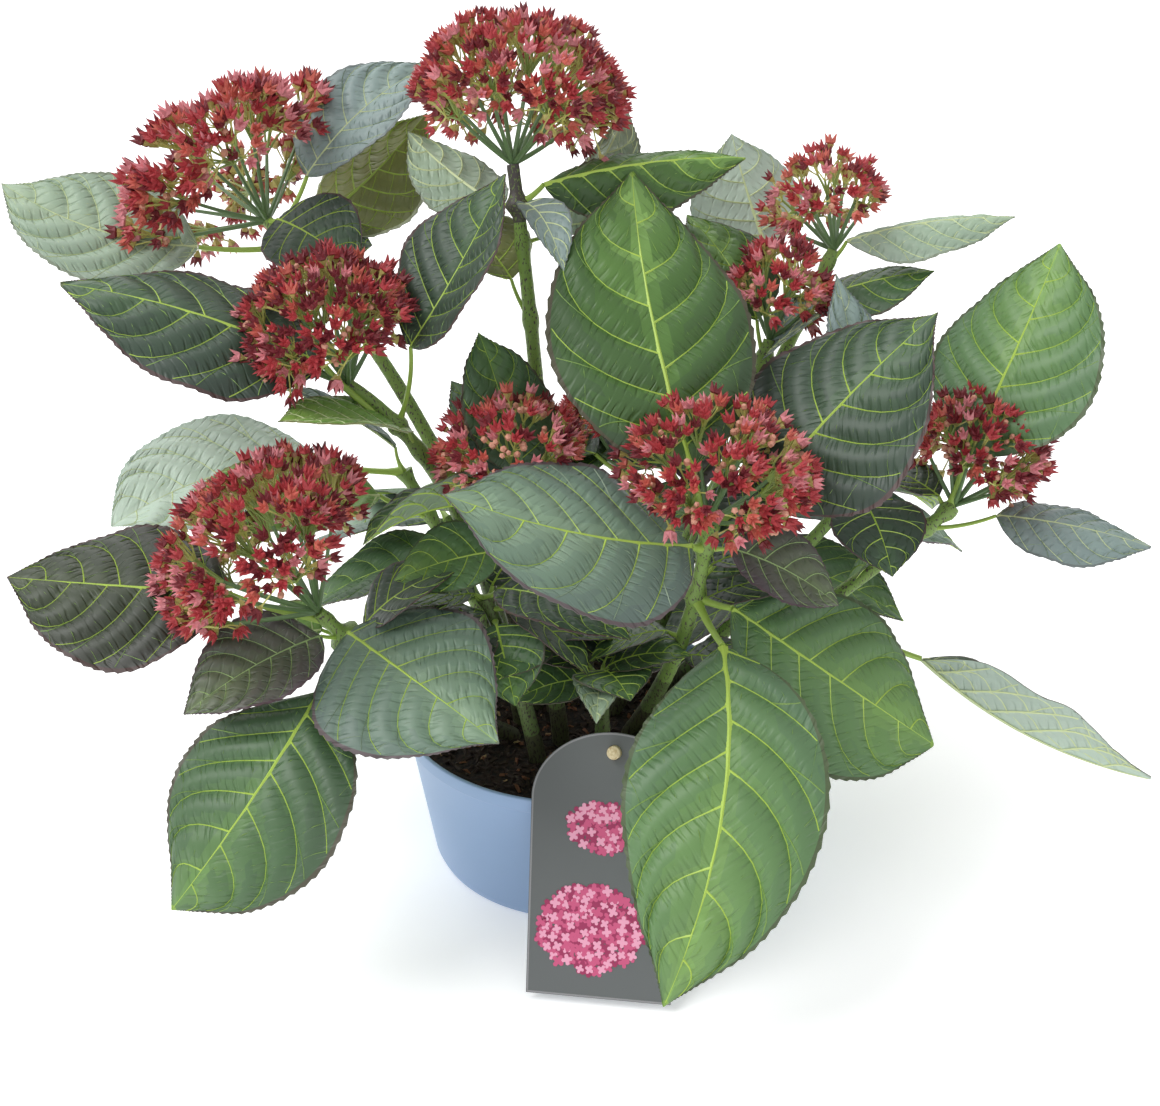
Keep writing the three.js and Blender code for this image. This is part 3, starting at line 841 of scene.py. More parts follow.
@dataclass(frozen=True)
class Leaf:
    """A leaf, by the share of the cane where its stalk leaves and by its tip in the leaning axes.

    Its width is in millimetres, and its roll and fold are in degrees. The rest are shares of its length:
    how far it arches, bows sideways and lifts off its cane, its stalk, and the place where it is widest.
    """

    at: float
    across: float
    up: float
    deep: float
    width: float
    roll: float
    arch: float
    fold: float
    stalk: float
    look: Look
    bow: float = 0.0
    widest: float = 0.42
    lift: float = 0.1

    def tip(self, cane: Cane) -> Array:
        """Gives the tip's place."""
        return Crown().point(self.across, self.up, self.deep)


@dataclass(frozen=True)
class AimedLeaf:
    """A leaf at the back, or a low sprout, by where it leaves the cane, its heading, rise and length."""

    at: float
    heading: float
    rise: float
    length: float
    width: float
    look: Look
    roll: float = 0.0
    arch: float = 0.1
    fold: float = 8.0
    stalk: float = 0.14
    bow: float = 0.0
    widest: float = 0.42
    lift: float = 0.1

    def tip(self, cane: Cane) -> Array:
        """Gives the tip's place."""
        heading, rise = math.radians(self.heading), math.radians(self.rise)
        level = math.cos(rise)
        way = np.array([level * math.cos(heading), level * math.sin(heading), math.sin(rise)])
        return cane.point(self.at) + self.length * way


@dataclass(frozen=True)
class Head:
    """A domed flower head, by its heart, its radius, how far it rises and its number of trusses.

    Loose, budding, bare and dusk are shares: how far its trusses stand apart, and how many of its florets
    are buds, are missing or are dark. The size of its florets is told by floret, 1 for the usual one.
    """

    heart: Point
    radius: float
    rise: float
    trusses: int
    loose: float
    budding: float = 0.16
    bare: float = 0.0
    dusk: float = 0.0
    floret: float = 1.0


@dataclass(frozen=True)
class Cane:
    """A bent cane from its foot on the compost to its top, which narrows on the way."""

    foot: tuple[float, float]
    bend: Point
    top: Point
    foot_radius: float = 4.6
    tip_radius: float = 3.2
    foot_height: float = 79.0 + GAP
    ring_apart: float = 2.5
    corners: int = 14
    node_swell: float = 0.28
    node_reach: float = 4.0

    def ends(self) -> tuple[Array, Array, Array]:
        """Gives the foot, the bend and the top as arrays."""
        return np.array([*self.foot, self.foot_height]), np.array(self.bend, float), np.array(self.top, float)

    def point(self, share: Any) -> Array:
        """Gives the points at shares of the cane."""
        return bezier(*self.ends(), share)

    def stretch(
        self, start: float, end: float, nodes: Sequence[float], sunk: float = 0.0
    ) -> tuple[Array, Faces]:
        """Makes a stretch of the cane, swollen where leaves join it and faintly ridged.

        Args:
            start: the share at which it starts.
            end: the share at which it ends.
            nodes: the shares at which leaves join it.
            sunk: how far its first ring goes below its place, into the compost.

        Returns:
            The points and the faces.
        """
        length = float(np.linalg.norm(np.diff(self.point(np.linspace(start, end, 30)), axis=0), axis=1).sum())
        share = np.linspace(start, end, max(6, round(length / self.ring_apart)))
        centres = self.point(share)
        centres[0, 2] -= sunk
        radii = self.foot_radius + (self.tip_radius - self.foot_radius) * share
        whole = max(length / max(end - start, 1e-3), 1.0)
        for node in nodes:
            radii = radii * (1 + self.node_swell * np.exp(-(((share - node) * whole / self.node_reach) ** 2)))
        radii = radii * (1 + 0.02 * np.sin(share * whole * 0.9) + 0.015 * np.sin(share * whole * 2.3))
        return tube(centres, radii, self.corners)


@dataclass(frozen=True)
class Shoot:
    """A cane with its mass of leaves, on most its flower head, and on some small sprouts within its reach.

    The mass begins at the share start of the cane. The cane's top is dark on some, and on those in
    shade the whole cane is darkened as painted shade.
    """

    name: str
    cane: Cane
    start: float
    leaves: tuple[Any, ...]
    head: Head | None = None
    dark_top: bool = False
    in_shade: bool = False
    sprouts: tuple[Any, ...] = ()


SHOOTS = (
    Shoot(
        "tall", Cane((-12, 10), (-14, 14, 235), (-32, 55, 373)), 0.66,
        (
            Leaf(0.93, 87, 202, -30, 56, 35, 0.06, -40, 0.12, Look.GREEN),
            Leaf(0.86, 27, 234, 0, 56, 170, 0.05, 15, 0.15, Look.SAGE),
            Leaf(0.93, -89, 222, 0, 46, 165, 0.05, 12, 0.15, Look.SAGE),
            Leaf(0.93, -6, 137, -75, 26, 0, 0.15, 25, 0.15, Look.MIST),
            Leaf(0.73, -68, 176, -10, 55, 0, 0.08, 12, 0.3, Look.OLIVE),
        ),
        Head((-28, 66, 402), 56, 46, 13, 0.35, 0.16, 0.1), dark_top=True,
    ),
    Shoot(
        "upper_left", Cane((-22, 14), (-70, 50, 250), (-166, 99, 330)), 0.6,
        (
            Leaf(0.93, -306, 197, 10, 74, -32, 0.0, 8, 0.3, Look.SAGE, -0.09, 0.42, 0.0),
            Leaf(0.93, -110, 166, 24, 76, 10, 0.05, 5, 0.15, Look.DEEP),
            Leaf(0.96, -81, 239, 30, 70, -158, 0.05, 12, 0.2, Look.OLIVE),
            Leaf(0.97, -77, 266, 30, 58, 20, 0.1, 12, 0.25, Look.MIST),
        ),
        Head((-186, 112, 352), 72, 39, 13, 0.8, 0.14, 0.42, 0.0, 1.25),
        sprouts=(AimedLeaf(1.0, -35, -15, 66, 58, Look.DEEP, 25),),
    ),
    Shoot(
        "middle_left", Cane((-30, -4), (-50, -10, 235), (-114, -4, 277)), 0.55,
        (
            Leaf(0.8, -253, 132, -70, 86, -20, 0.06, -14, 0.25, Look.DEEP),
            Leaf(0.8, -34, 186, -70, 88, 0, 0.0, 12, 0.3, Look.DEEP, 0.04),
            Leaf(0.7, -143, 63, -90, 50, 0, 0.05, 12, 0.12, Look.BRIGHT),
        ),
        Head((-124, -1, 302), 48, 42, 12, 0.25, 0.2, 0.0, 0.3),
    ),
    Shoot(
        "front_left", Cane((-33, -20), (-90, -50, 125), (-128, -64, 180)), 0.5,
        (
            Leaf(0.95, -285, -12, -50, 92, -24, 0.02, -10, 0.3, Look.BRONZE, -0.02),
            Leaf(0.85, -189, -78, -85, 55, -20, 0.08, 10, 0.15, Look.PURPLE),
            Leaf(0.85, -196, -173, -80, 96, -15, 0.12, -8, 0.2, Look.MOSS, -0.08, 0.48),
            Leaf(0.85, -36, -90, -105, 98, 20, 0.06, -8, 0.08, Look.SLATE, 0.02, 0.38),
            Leaf(0.85, -176, -52, -20, 45, -20, 0.05, 8, 0.15, Look.BRIGHT),
        ),
        Head((-152, -62, 215), 60, 43, 13, 0.5, 0.24, 0.05, 0.12),
        sprouts=(
            AimedLeaf(0.66, 30, 12, 62, 46, Look.DEEP),
            AimedLeaf(0.55, 0, -8, 50, 40, Look.MOSS, 10), AimedLeaf(0.78, 12, 36, 66, 50, Look.DEEP),
        ),
    ),
    Shoot(
        "centre", Cane((-8, -26), (-15, -38, 160), (-28, -28, 222)), 0.5,
        (
            Leaf(0.97, -49, 111, -48, 50, 0, 0.04, 10, 0.2, Look.MOSS),
            Leaf(0.97, -64, 88, -30, 34, -10, 0.05, 15, 0.2, Look.SLATE),
            Leaf(0.93, -103, 4, -84, 50, 30, 0.1, 30, 0.12, Look.MOSS),
            Leaf(0.8, -92, -14, -40, 42, -30, 0.08, 8, 0.2, Look.FRESH),
        ),
        Head((-33, -28, 249), 39, 32, 11, 0.3, 0.48, 0.0), in_shade=True,
    ),
    Shoot(
        "front_right", Cane((28, -18), (62, -48, 150), (64, -60, 228)), 0.5,
        (
            Leaf(0.7, 41, -213, -110, 97, 0, 0.12, -6, 0.15, Look.FRESH, -0.08, 0.44),
            Leaf(0.7, 181, -97, -40, 101, 26, 0.04, -4, 0.12, Look.FRESH, 0.03, 0.5),
            Leaf(0.9, -61, 27, -138, 98, -27, 0, -4, 0.1, Look.SLATE, -0.055, 0.42, 0.05),
            Leaf(0.9, 130, -26, -60, 44, 25, 0.08, 10, 0.15, Look.PURPLE),
            Leaf(0.98, 34, 91, -60, 38, 0, 0.05, 15, 0.2, Look.PURPLE),
            Leaf(0.98, 177, 118, -73, 104, 20, 0.04, -6, 0.2, Look.DEEP, 0.0, 0.36, -0.08),
            Leaf(0.98, 28, 192, -45, 106, 0, 0.04, -6, 0.14, Look.GREEN, -0.045),
        ),
        Head((68, -64, 255), 50, 36, 13, 0.4, 0.36, 0.05),
        sprouts=(
            AimedLeaf(0.62, 12, 12, 58, 44, Look.DEEP), AimedLeaf(0.52, 190, -12, 50, 38, Look.MOSS, 10),
            AimedLeaf(0.78, 20, 6, 50, 38, Look.DEEP), AimedLeaf(0.4, -20, 0, 46, 36, Look.DEEP),
            AimedLeaf(0.7, 40, 16, 60, 46, Look.MOSS), AimedLeaf(0.9, 30, 24, 52, 40, Look.DEEP),
        ),
    ),
    Shoot(
        "right", Cane((36, 2), (110, -10, 130), (197, 2, 207)), 0.5,
        (
            Leaf(0.98, 250, 160, -20, 96, 0, 0.04, -8, 0.2, Look.FRESH, 0.04),
            Leaf(0.92, 297, 3, -20, 54, 10, 0.04, -14, 0.3, Look.MIST),
            Leaf(0.62, 303, -119, 0, 70, 330, -0.07, 38, 0.3, Look.MINT, 0.0, 0.42, -0.01),
            Leaf(0.92, 142, -25, 25, 36, 0, 0.05, 8, 0.1, Look.FRESH),
            Leaf(0.98, 160, 48, 15, 32, 0, 0.05, 8, 0.15, Look.DEEP),
        ),
        Head((208, 9, 231), 37, 38, 11, 0.2, 0.24, 0.0, 0.1),
    ),
    Shoot(
        "upper_right", Cane((14, 20), (85, 56, 205), (136, 74, 322)), 0.6,
        (
            Leaf(0.97, 229, 175, -10, 44, 10, 0.05, -30, 0.12, Look.SAGE),
            Leaf(0.85, 188, 148, -5, 50, 10, 0.04, -14, 0.15, Look.MOSS),
            Leaf(0.85, 85, 230, 40, 66, 170, 0.05, 10, 0.44, Look.MINT),
        ),
        Head((131, 83, 344), 34, 31, 10, 0.6, 0.24, 0.34),
    ),
    Shoot(
        "inner_right", Cane((20, 4), (75, 5, 200), (100, 33, 287)), 0.6,
        (
            Leaf(0.95, 58, 178, 0, 52, 0, 0.08, 8, 0.2, Look.GREEN),
            Leaf(0.95, 129, 137, -10, 22, 0, 0.05, 8, 0.15, Look.MIST),
            Leaf(0.9, 126, 122, -36, 24, 0, 0.05, 8, 0.15, Look.MIST),
        ),
        Head((104, 38, 309), 27, 30, 8, 0.5, 0.2, 0.1),
    ),
    Shoot(
        "leafy_right", Cane((42, 14), (100, 8, 150), (145, 6, 212)), 0.55,
        (
            Leaf(1, 160, -12, -40, 52, 0, 0.1, 6, 0.15, Look.DEEP),
            Leaf(1, 131, 141, -41, 42, 0, 0.04, 6, 0.15, Look.MIST),
        ),
        sprouts=(AimedLeaf(0.56, 190, -28, 80, 66, Look.DEEP, 10, 0.02, 8.0, 0.14, 0.0, 0.42, 0.0),),
    ),
    Shoot(
        "leafy_left", Cane((-34, 28), (-60, 50, 140), (-95, 60, 200)), 0.55,
        (
            Leaf(1, -248, 14, 12, 82, -20, 0.02, 8, 0.28, Look.MINT, 0.09, 0.52, 0.04),
            Leaf(1, -156, 87, 0, 26, 0, 0.05, 15, 0.15, Look.MIST),
            Leaf(0.8, -221, 19, 12, 60, -20, 0.05, 8, 0.2, Look.BRIGHT),
        ),
    ),
    Shoot(
        "leafy_front", Cane((-20, -44), (-30, -50, 140), (-46, -42, 176)), 0.5,
        (
            Leaf(1, 27, -43, -72, 50, 10, 0.1, 12, 0.1, Look.DEEP),
            Leaf(0.7, -40, -63, -64, 52, -10, 0.1, 8, 0.1, Look.MOSS),
            Leaf(1, -79, -30, -36, 34, 0, 0.1, 12, 0.15, Look.MOSS),
        ),
        sprouts=(
            AimedLeaf(0.93, -30, -22, 62, 46, Look.DEEP, -15),
            AimedLeaf(0.86, -75, -30, 52, 42, Look.MOSS, 10),
            AimedLeaf(0.8, -130, -20, 48, 38, Look.DEEP), AimedLeaf(0.95, 170, -5, 46, 36, Look.MOSS),
            AimedLeaf(0.62, 10, 2, 60, 44, Look.DEEP, -10), AimedLeaf(0.7, -160, 8, 58, 44, Look.DEEP),
            AimedLeaf(0.97, 60, 20, 50, 42, Look.DEEP),
        ),
        in_shade=True,
    ),
    Shoot(
        "leafy_low", Cane((14, -46), (14, -50, 110), (12, -50, 135)), 0.4,
        (
            Leaf(1, 27, -73, -62, 42, 0, 0.1, 8, 0.1, Look.MOSS),
            Leaf(1, 44, -56, -10, 42, 0, 0.1, 8, 0.15, Look.DEEP),
            Leaf(0.7, 10, -84, -66, 30, 0, 0.2, 25, 0.1, Look.SAGE),
        ),
        sprouts=(
            AimedLeaf(0.98, 165, 14, 50, 40, Look.DEEP), AimedLeaf(0.98, -10, 20, 50, 40, Look.MOSS),
            AimedLeaf(0.9, -165, -4, 46, 36, Look.MOSS, -10), AimedLeaf(0.95, 60, 25, 48, 40, Look.DEEP),
        ),
        in_shade=True,
    ),
    Shoot(
        "back", Cane((4, 30), (12, 80, 150), (28, 138, 166)), 0.45,
        (
            AimedLeaf(0.5, 160, 7, 120, 74, Look.FRESH), AimedLeaf(0.5, 10, 10, 100, 66, Look.MOSS),
            AimedLeaf(0.78, 122, -12, 140, 84, Look.GREEN), AimedLeaf(0.78, 56, 6, 120, 76, Look.DEEP),
            AimedLeaf(0.97, 150, -12, 115, 74, Look.SLATE), AimedLeaf(0.97, 85, -20, 135, 82, Look.FRESH),
        ),
        Head((30, 156, 186), 44, 30, 11, 0.4),
    ),
    Shoot(
        "back_right", Cane((26, 26), (80, 80, 130), (122, 124, 150)), 0.45,
        (
            AimedLeaf(0.55, -20, -6, 110, 70, Look.MOSS), AimedLeaf(0.8, 8, -10, 130, 80, Look.SLATE),
            AimedLeaf(0.8, 88, -25, 115, 72, Look.DEEP), AimedLeaf(0.97, 35, -16, 135, 82, Look.GREEN),
        ),
        Head((134, 136, 170), 38, 28, 10, 0.4),
    ),
    Shoot(
        "back_left", Cane((-14, 30), (-45, 85, 125), (-76, 122, 140)), 0.45,
        (
            AimedLeaf(0.6, 178, -16, 115, 74, Look.MOSS), AimedLeaf(0.6, 92, -14, 100, 66, Look.GREEN),
            AimedLeaf(0.85, 150, -22, 130, 80, Look.SLATE), AimedLeaf(1, 112, -24, 125, 78, Look.FRESH),
        ),
    ),
)


# ---- leaves


@dataclass(frozen=True)
class Blade:
    """A leaf's blade with its stalk and ribs, where it lies on a cane.

    A point of the blade is given by its phase and its share across. The phase counts the side ribs from
    0 at the blade's foot, and a line of one phase runs as a side rib does, forward and out to the margin.
    The share across is -1 at one margin, 0 on the midrib and 1 at the other margin. The swell of its cells
    and the wave of its margin are shares of its length, and the other sizes are in millimetres.
    """

    root: Array
    base: Array
    crest: Array
    tip: Array
    side: Array
    width: float
    length: float
    fold: float
    upper: Look
    under: Look
    number: int
    widest_at: float
    fullness: float = 0.86
    forward: float = 0.34
    thickness: float = 0.6
    tooth: float = 1.0
    swell: float = 0.021
    wave: float = 0.016
    rim_from: float = 0.965
    tip_from: float = 0.985
    fork_from: float = 0.56
    ribs_to: float = 0.95
    rung_apart: float = 8.5

    @classmethod
    def on(cls, cane: Cane, leaf: Any, number: int) -> Blade:
        """Finds where a leaf lies.

        Args:
            cane: the cane that carries it.
            leaf: the leaf.
            number: its number in the shrub, which seeds what varies from leaf to leaf.

        Returns:
            The blade.
        """
        root, tip = cane.point(leaf.at), leaf.tip(cane)
        along = unit(tip - root)
        face = unit(np.array([0, 0, 1.0]) - along * along[2])
        face = turned(face, along, math.radians(leaf.roll))
        side = np.cross(along, face)
        reach = float(np.linalg.norm(tip - root))
        base = root + along * reach * leaf.stalk + reach * (face * leaf.lift + side * leaf.bow)
        length = float(np.linalg.norm(tip - base))
        crest = (base + tip) / 2 + 2 * length * (face * leaf.arch + side * leaf.bow)
        other = Look.MOSS if leaf.look in PALE_LOOKS else Look.UNDERSIDE
        turned_over = abs(leaf.roll) > 90
        upper, under = (other, leaf.look) if turned_over else (leaf.look, other)
        return cls(
            root, base, crest, tip, side, leaf.width, length, math.radians(leaf.fold), upper, under, number,
            leaf.widest,
        )

    @property
    def ribs(self) -> int:
        """Gives the number of side ribs on each half."""
        return 6 if self.length > 75 else 5

    @property
    def rows_per_rib(self) -> int:
        """Gives the rows of faces from one side rib to the next."""
        return 9 if self.length > 95 else 6 if self.length > 60 else 4

    def varied(self, salt: int = 0) -> np.random.Generator:
        """Gives the leaf's own row of random numbers."""
        return np.random.default_rng(1000 * salt + self.number)

    def spread(self, along: Array) -> Array:
        """Gives the half width at shares along the blade, as a share of the greatest."""
        rear, front = self.fullness * self.widest_at, self.fullness * (1 - self.widest_at)
        s = np.clip(along, 0, 1)
        peak = self.widest_at**rear * (1 - self.widest_at) ** front
        rounded = (s**rear * (1 - s) ** front / peak) ** 2
        return rounded * (1 - 0.3 * smoothstep(0.8, 1, s))

    def shares(self, phase: Array, across: Array) -> Array:
        """Gives the shares along the blade at phases and shares across."""
        rise = np.clip(phase / (self.ribs + 1), 0.0, 1.0) ** 1.35
        hump = rise**0.8 * (1 - rise) ** 1.2 / 0.26
        t = np.abs(across)
        return np.clip(rise + self.forward * hump * (0.5 * t + 0.5 * t**3), 0.004, 0.997)

    def offset(self, across: Array) -> Array:
        """Gives how much later the ribs of the left half leave the midrib than those of the right."""
        later = round(0.375 * self.rows_per_rib) / self.rows_per_rib
        return np.where(np.asarray(across) < 0, later, 0.0)

    def lift(self, phase: Array, across: Array, along: Array) -> Array:
        """Gives the relief in millimetres: cells that swell between sunk ribs, and a waved margin."""
        t = np.abs(across)
        cell = np.abs(np.sin(np.pi * (phase - self.offset(across)))) ** 0.8
        inside = smoothstep(0, 0.2, t) * (1 - 0.75 * smoothstep(0.7, 1, t))
        inside = inside * smoothstep(0, 0.1, along) * (1 - smoothstep(0.8, 1, along))
        vary = self.varied(1)
        start, count = vary.uniform(0, 2 * np.pi, 2), vary.uniform(1.6, 2.8)
        wave = np.sin(2 * np.pi * count * along + np.where(np.asarray(across) < 0, start[0], start[1]))
        calm = 0.45 + 0.55 * float(smoothstep(45, 80, np.array(self.length)))
        return self.length * calm * (self.swell * cell * inside + self.wave * wave * t**3 * (1 - along * 0.5))

    def frame(self, along: Array) -> tuple[Array, Array, Array]:
        """Gives the midrib's points, and the blade's unit lateral and face there."""
        middle = bezier(self.base, self.crest, self.tip, along)
        way = bezier_way(self.base, self.crest, self.tip, along)
        face = unit(np.cross(self.side, way))
        return middle, np.cross(way, face), face

    def point(self, phase: Array, across: Array, rise: Any = 0.0, out: Any = 0.0) -> Array:
        """Gives points of the blade.

        Args:
            phase: the points' phases.
            across: their shares across, of the same shape.
            rise: how far above the blade's middle layer, in millimetres.
            out: how far out from the margin, in millimetres.

        Returns:
            The points, with one more axis.
        """
        p, t = np.broadcast_arrays(np.asarray(phase, float), np.asarray(across, float))
        s = self.shares(p, t)
        middle, lateral, face = self.frame(s)
        half = self.width / 2 * self.spread(s)
        wide = half * math.cos(self.fold) * t + np.sign(t) * out
        high = half * math.sin(self.fold) * np.abs(t) ** 1.2 + self.lift(p, t, s) + rise
        return middle + lateral * wide[..., None] + face * high[..., None]

    def lamina(self, patchwork: Patchwork) -> None:
        """Adds the thin toothed blade to a patchwork, its colours dealt out from heart to rim."""
        rows = (self.ribs + 1) * self.rows_per_rib + 1
        half_cuts = np.array([0.13, 0.27, 0.41, 0.55, 0.68, 0.8, 0.9, self.rim_from, 1.0])
        if self.length < 60:
            half_cuts = half_cuts[[1, 3, 5, 7, 8]]
        cuts = np.concatenate([-half_cuts[::-1], [0], half_cuts])
        columns = len(cuts)
        p, t = np.meshgrid(np.arange(rows) / self.rows_per_rib, cuts, indexing="ij")
        s = self.shares(p, t)
        odd = (np.arange(rows) % 2 == 1)[:, None] & (np.abs(t) > 0.99)
        teeth = np.where(odd, self.tooth * min(1.0, self.length / 90), 0.0)
        teeth = teeth * smoothstep(0, 0.12, s) * (1 - smoothstep(0.93, 1, s))
        half = self.thickness / 2 * (1 - 0.4 * np.abs(t))
        leading = p + np.where(odd, 0.45 / self.rows_per_rib, 0.0)
        points = [self.point(leading, t, sign * half, teeth).reshape(-1, 3) for sign in (1, -1)]
        grid = np.arange(rows * columns).reshape(rows, columns)
        under = grid + rows * columns
        top = np.stack([grid[:-1, :-1], grid[:-1, 1:], grid[1:, 1:], grid[1:, :-1]], axis=-1).reshape(-1, 4)
        low = (top + rows * columns)[:, ::-1]
        edges = [
            np.stack([grid[:-1, -1], under[:-1, -1], under[1:, -1], grid[1:, -1]], axis=-1),
            np.stack([grid[1:, 0], under[1:, 0], under[:-1, 0], grid[:-1, 0]], axis=-1),
            np.stack([grid[0, :-1], under[0, :-1], under[0, 1:], grid[0, 1:]], axis=-1),
            np.stack([grid[-1, 1:], under[-1, 1:], under[-1, :-1], grid[-1, :-1]], axis=-1),
        ]
        finishes = self.dealt(self.upper, p, t) + self.dealt(self.under, p, t)
        finishes += [self.upper.value.ladder(self.upper.name)[-2]] * sum(len(edge) for edge in edges)
        faces = np.concatenate([top, low, *edges]).tolist()
        lie = self.lie(points[0].reshape(rows, columns, 3), p - self.offset(t))
        patchwork.add(np.concatenate(points), faces, finishes, np.concatenate([lie, lie]))

    def lie(self, points: Array, phase: Array) -> Array:
        """Tells how a pattern lies: across the ribs by their phase, and along them by their length.

        Args:
            points: the grid of the blade's points.
            phase: their phases, which are whole numbers on side ribs.

        Returns:
            A pair for each point: the phase, and the distance along the rib in units of 5 mm.
        """
        columns = points.shape[1]
        middle = columns // 2
        steps = np.linalg.norm(np.diff(points, axis=1), axis=2)
        right = np.concatenate([np.zeros((len(points), 1)), np.cumsum(steps[:, middle:], axis=1)], axis=1)
        left = np.cumsum(steps[:, :middle][:, ::-1], axis=1)[:, ::-1]
        length = np.concatenate([left, right], axis=1)
        ahead = np.concatenate([[0], np.cumsum(np.linalg.norm(np.diff(points[:, middle], axis=0), axis=1))])
        lie = np.stack([phase, (length + 0.7 * ahead[:, None]) / 5 + 40 * self.number], axis=-1)
        return lie.reshape(-1, 2)

    def dealt(self, look: Look, p: Array, t: Array) -> list[LaminaFinish]:
        """Deals the steps of a look out to the faces of a grid of phases and shares across."""
        ladder = look.value.ladder(look.name)
        pc, tc = (p[:-1, :-1] + p[1:, 1:]) / 2, (t[:-1, :-1] + t[1:, 1:]) / 2
        sc = self.shares(pc, tc)
        vary = self.varied(2)
        own = pc - self.offset(tc)
        cells = np.clip(np.floor(own).astype(int) + 2 + 12 * (tc < 0), 0, 31)
        shade = vary.uniform(-0.07, 0.07, 32)[cells]
        # Faces midway between two side ribs take steps nearer the margin's colours than those along the ribs.
        # This is partly the leaf's own paler band along its ribs and partly painted sheen on the swollen
        # cells between them.
        away = np.abs(np.sin(np.pi * own)) ** 0.7 * smoothstep(0.02, 0.25, np.abs(tc))
        level = 0.62 - 0.5 * sc + 0.16 * away + 0.34 * np.abs(tc) ** 2 + shade
        steps = look.value.steps
        step = np.clip((level * steps).astype(int), 0, steps - 1)
        step = np.where(np.abs(tc) > self.rim_from, steps, step)
        step = np.where(sc > self.tip_from, steps + 1, step)
        return [ladder[k] for k in step.ravel()]

    def rib(
        self, patchwork: Patchwork, phase: Array, across: Array, wide: Array, high: Array, finish: Any
    ) -> None:
        """Adds a rib half sunk in the blade.

        Args:
            patchwork: the patchwork to add it to.
            phase: the phases of its points.
            across: their shares across.
            wide: half its width at each.
            high: half its height at each.
            finish: its finish.
        """
        centres = self.point(phase, across)
        way = unit(np.gradient(centres, axis=0))
        face = self.frame(self.shares(phase, across))[2]
        lateral = unit(np.cross(way, face))
        points, faces = loft(centres, -lateral, np.cross(lateral, way), wide, high, 4)
        patchwork.add(points, faces, finish)

    def ribbing(self, patchwork: Patchwork) -> None:
        """Adds the midrib, the arching side ribs, their forks and, on large leaves, their rungs."""
        size = max(0.62, self.length / 140)
        shown = self.under if self.under in PALE_LOOKS else self.upper
        rib, fine = shown.value.rib, shown.value.rung
        p = np.linspace(0.0, self.ribs + 0.93, 28)
        fade = 1 - self.shares(p, 0 * p)
        self.rib(patchwork, p, 0 * p, size * (0.45 + 1.55 * fade), 0.42 + 0.85 * size * fade, rib)
        vary = self.varied(3)
        t = np.array([0.0, 0.13, 0.27, 0.41, 0.55, 0.68, 0.8, 0.9, self.ribs_to])
        fork = np.linspace(self.fork_from, self.ribs_to, 6)
        away = 0.5 * ((fork - self.fork_from) / (1 - self.fork_from)) ** 1.25
        even = np.ones(len(fork))
        for sign in (-1, 1):
            late = float(self.offset(sign))
            for k in range(0 if late else 1, self.ribs + 1):
                thin = size * (1.08 - 0.05 * k)
                self.rib(patchwork, k + late + 0 * t, sign * t, thin * (1.12 - 0.72 * t), 0.72 - 0.2 * t, rib)
                self.rib(patchwork, k + late - away, sign * fork, 0.36 * thin * even, 0.52 * even, fine)
            if self.length > 75:
                self.rungs(patchwork, sign, fine, vary)

    def rungs(self, patchwork: Patchwork, sign: int, finish: Any, vary: np.random.Generator) -> None:
        """Adds the fine rungs from rib to rib on one half of the blade.

        Args:
            patchwork: the patchwork to add them to.
            sign: -1 for the left half and 1 for the right.
            finish: their finish.
            vary: the leaf's row of random numbers.
        """
        f, even = np.linspace(0, 1, 4), np.ones(4)
        late = float(self.offset(sign))
        for k in range(self.ribs):
            for start in np.arange(0.22, 0.98, self.rung_apart / (self.width / 2)):
                start = start + vary.uniform(-0.04, 0.04)
                across = sign * (start - 0.16 * f - 0.02 * np.sin(np.pi * f))
                self.rib(patchwork, k + late + f, across, 0.2 * even, 0.42 * even, finish)

    def stalk(self, patchwork: Patchwork, finish: Any) -> None:
        """Adds the stalk, swollen where it joins the cane, up to the foot of the midrib."""
        share = np.linspace(0, 1, 12)
        face = unit(np.cross(self.side, self.base - self.root))
        reach = float(np.linalg.norm(self.base - self.root))
        centres = bezier(self.root, (self.root + self.base) / 2 - face * reach * 0.12, self.base, share)
        way = unit(np.gradient(centres, axis=0))
        sides = np.repeat(self.side[None], len(share), axis=0)
        sides = unit(sides - way * (sides * way).sum(axis=1, keepdims=True))
        swell = 1 + 0.7 * np.exp(-((share * reach / 5) ** 2))
        size = max(0.65, min(1.1, self.length / 120))
        wide, high = size * (2.1 - 0.6 * share) * swell, size * (1.7 - 0.4 * share) * swell
        points, faces = loft(centres, sides, np.cross(way, sides), wide, high, 8)
        patchwork.add(points, faces, finish)


# ---- flower heads


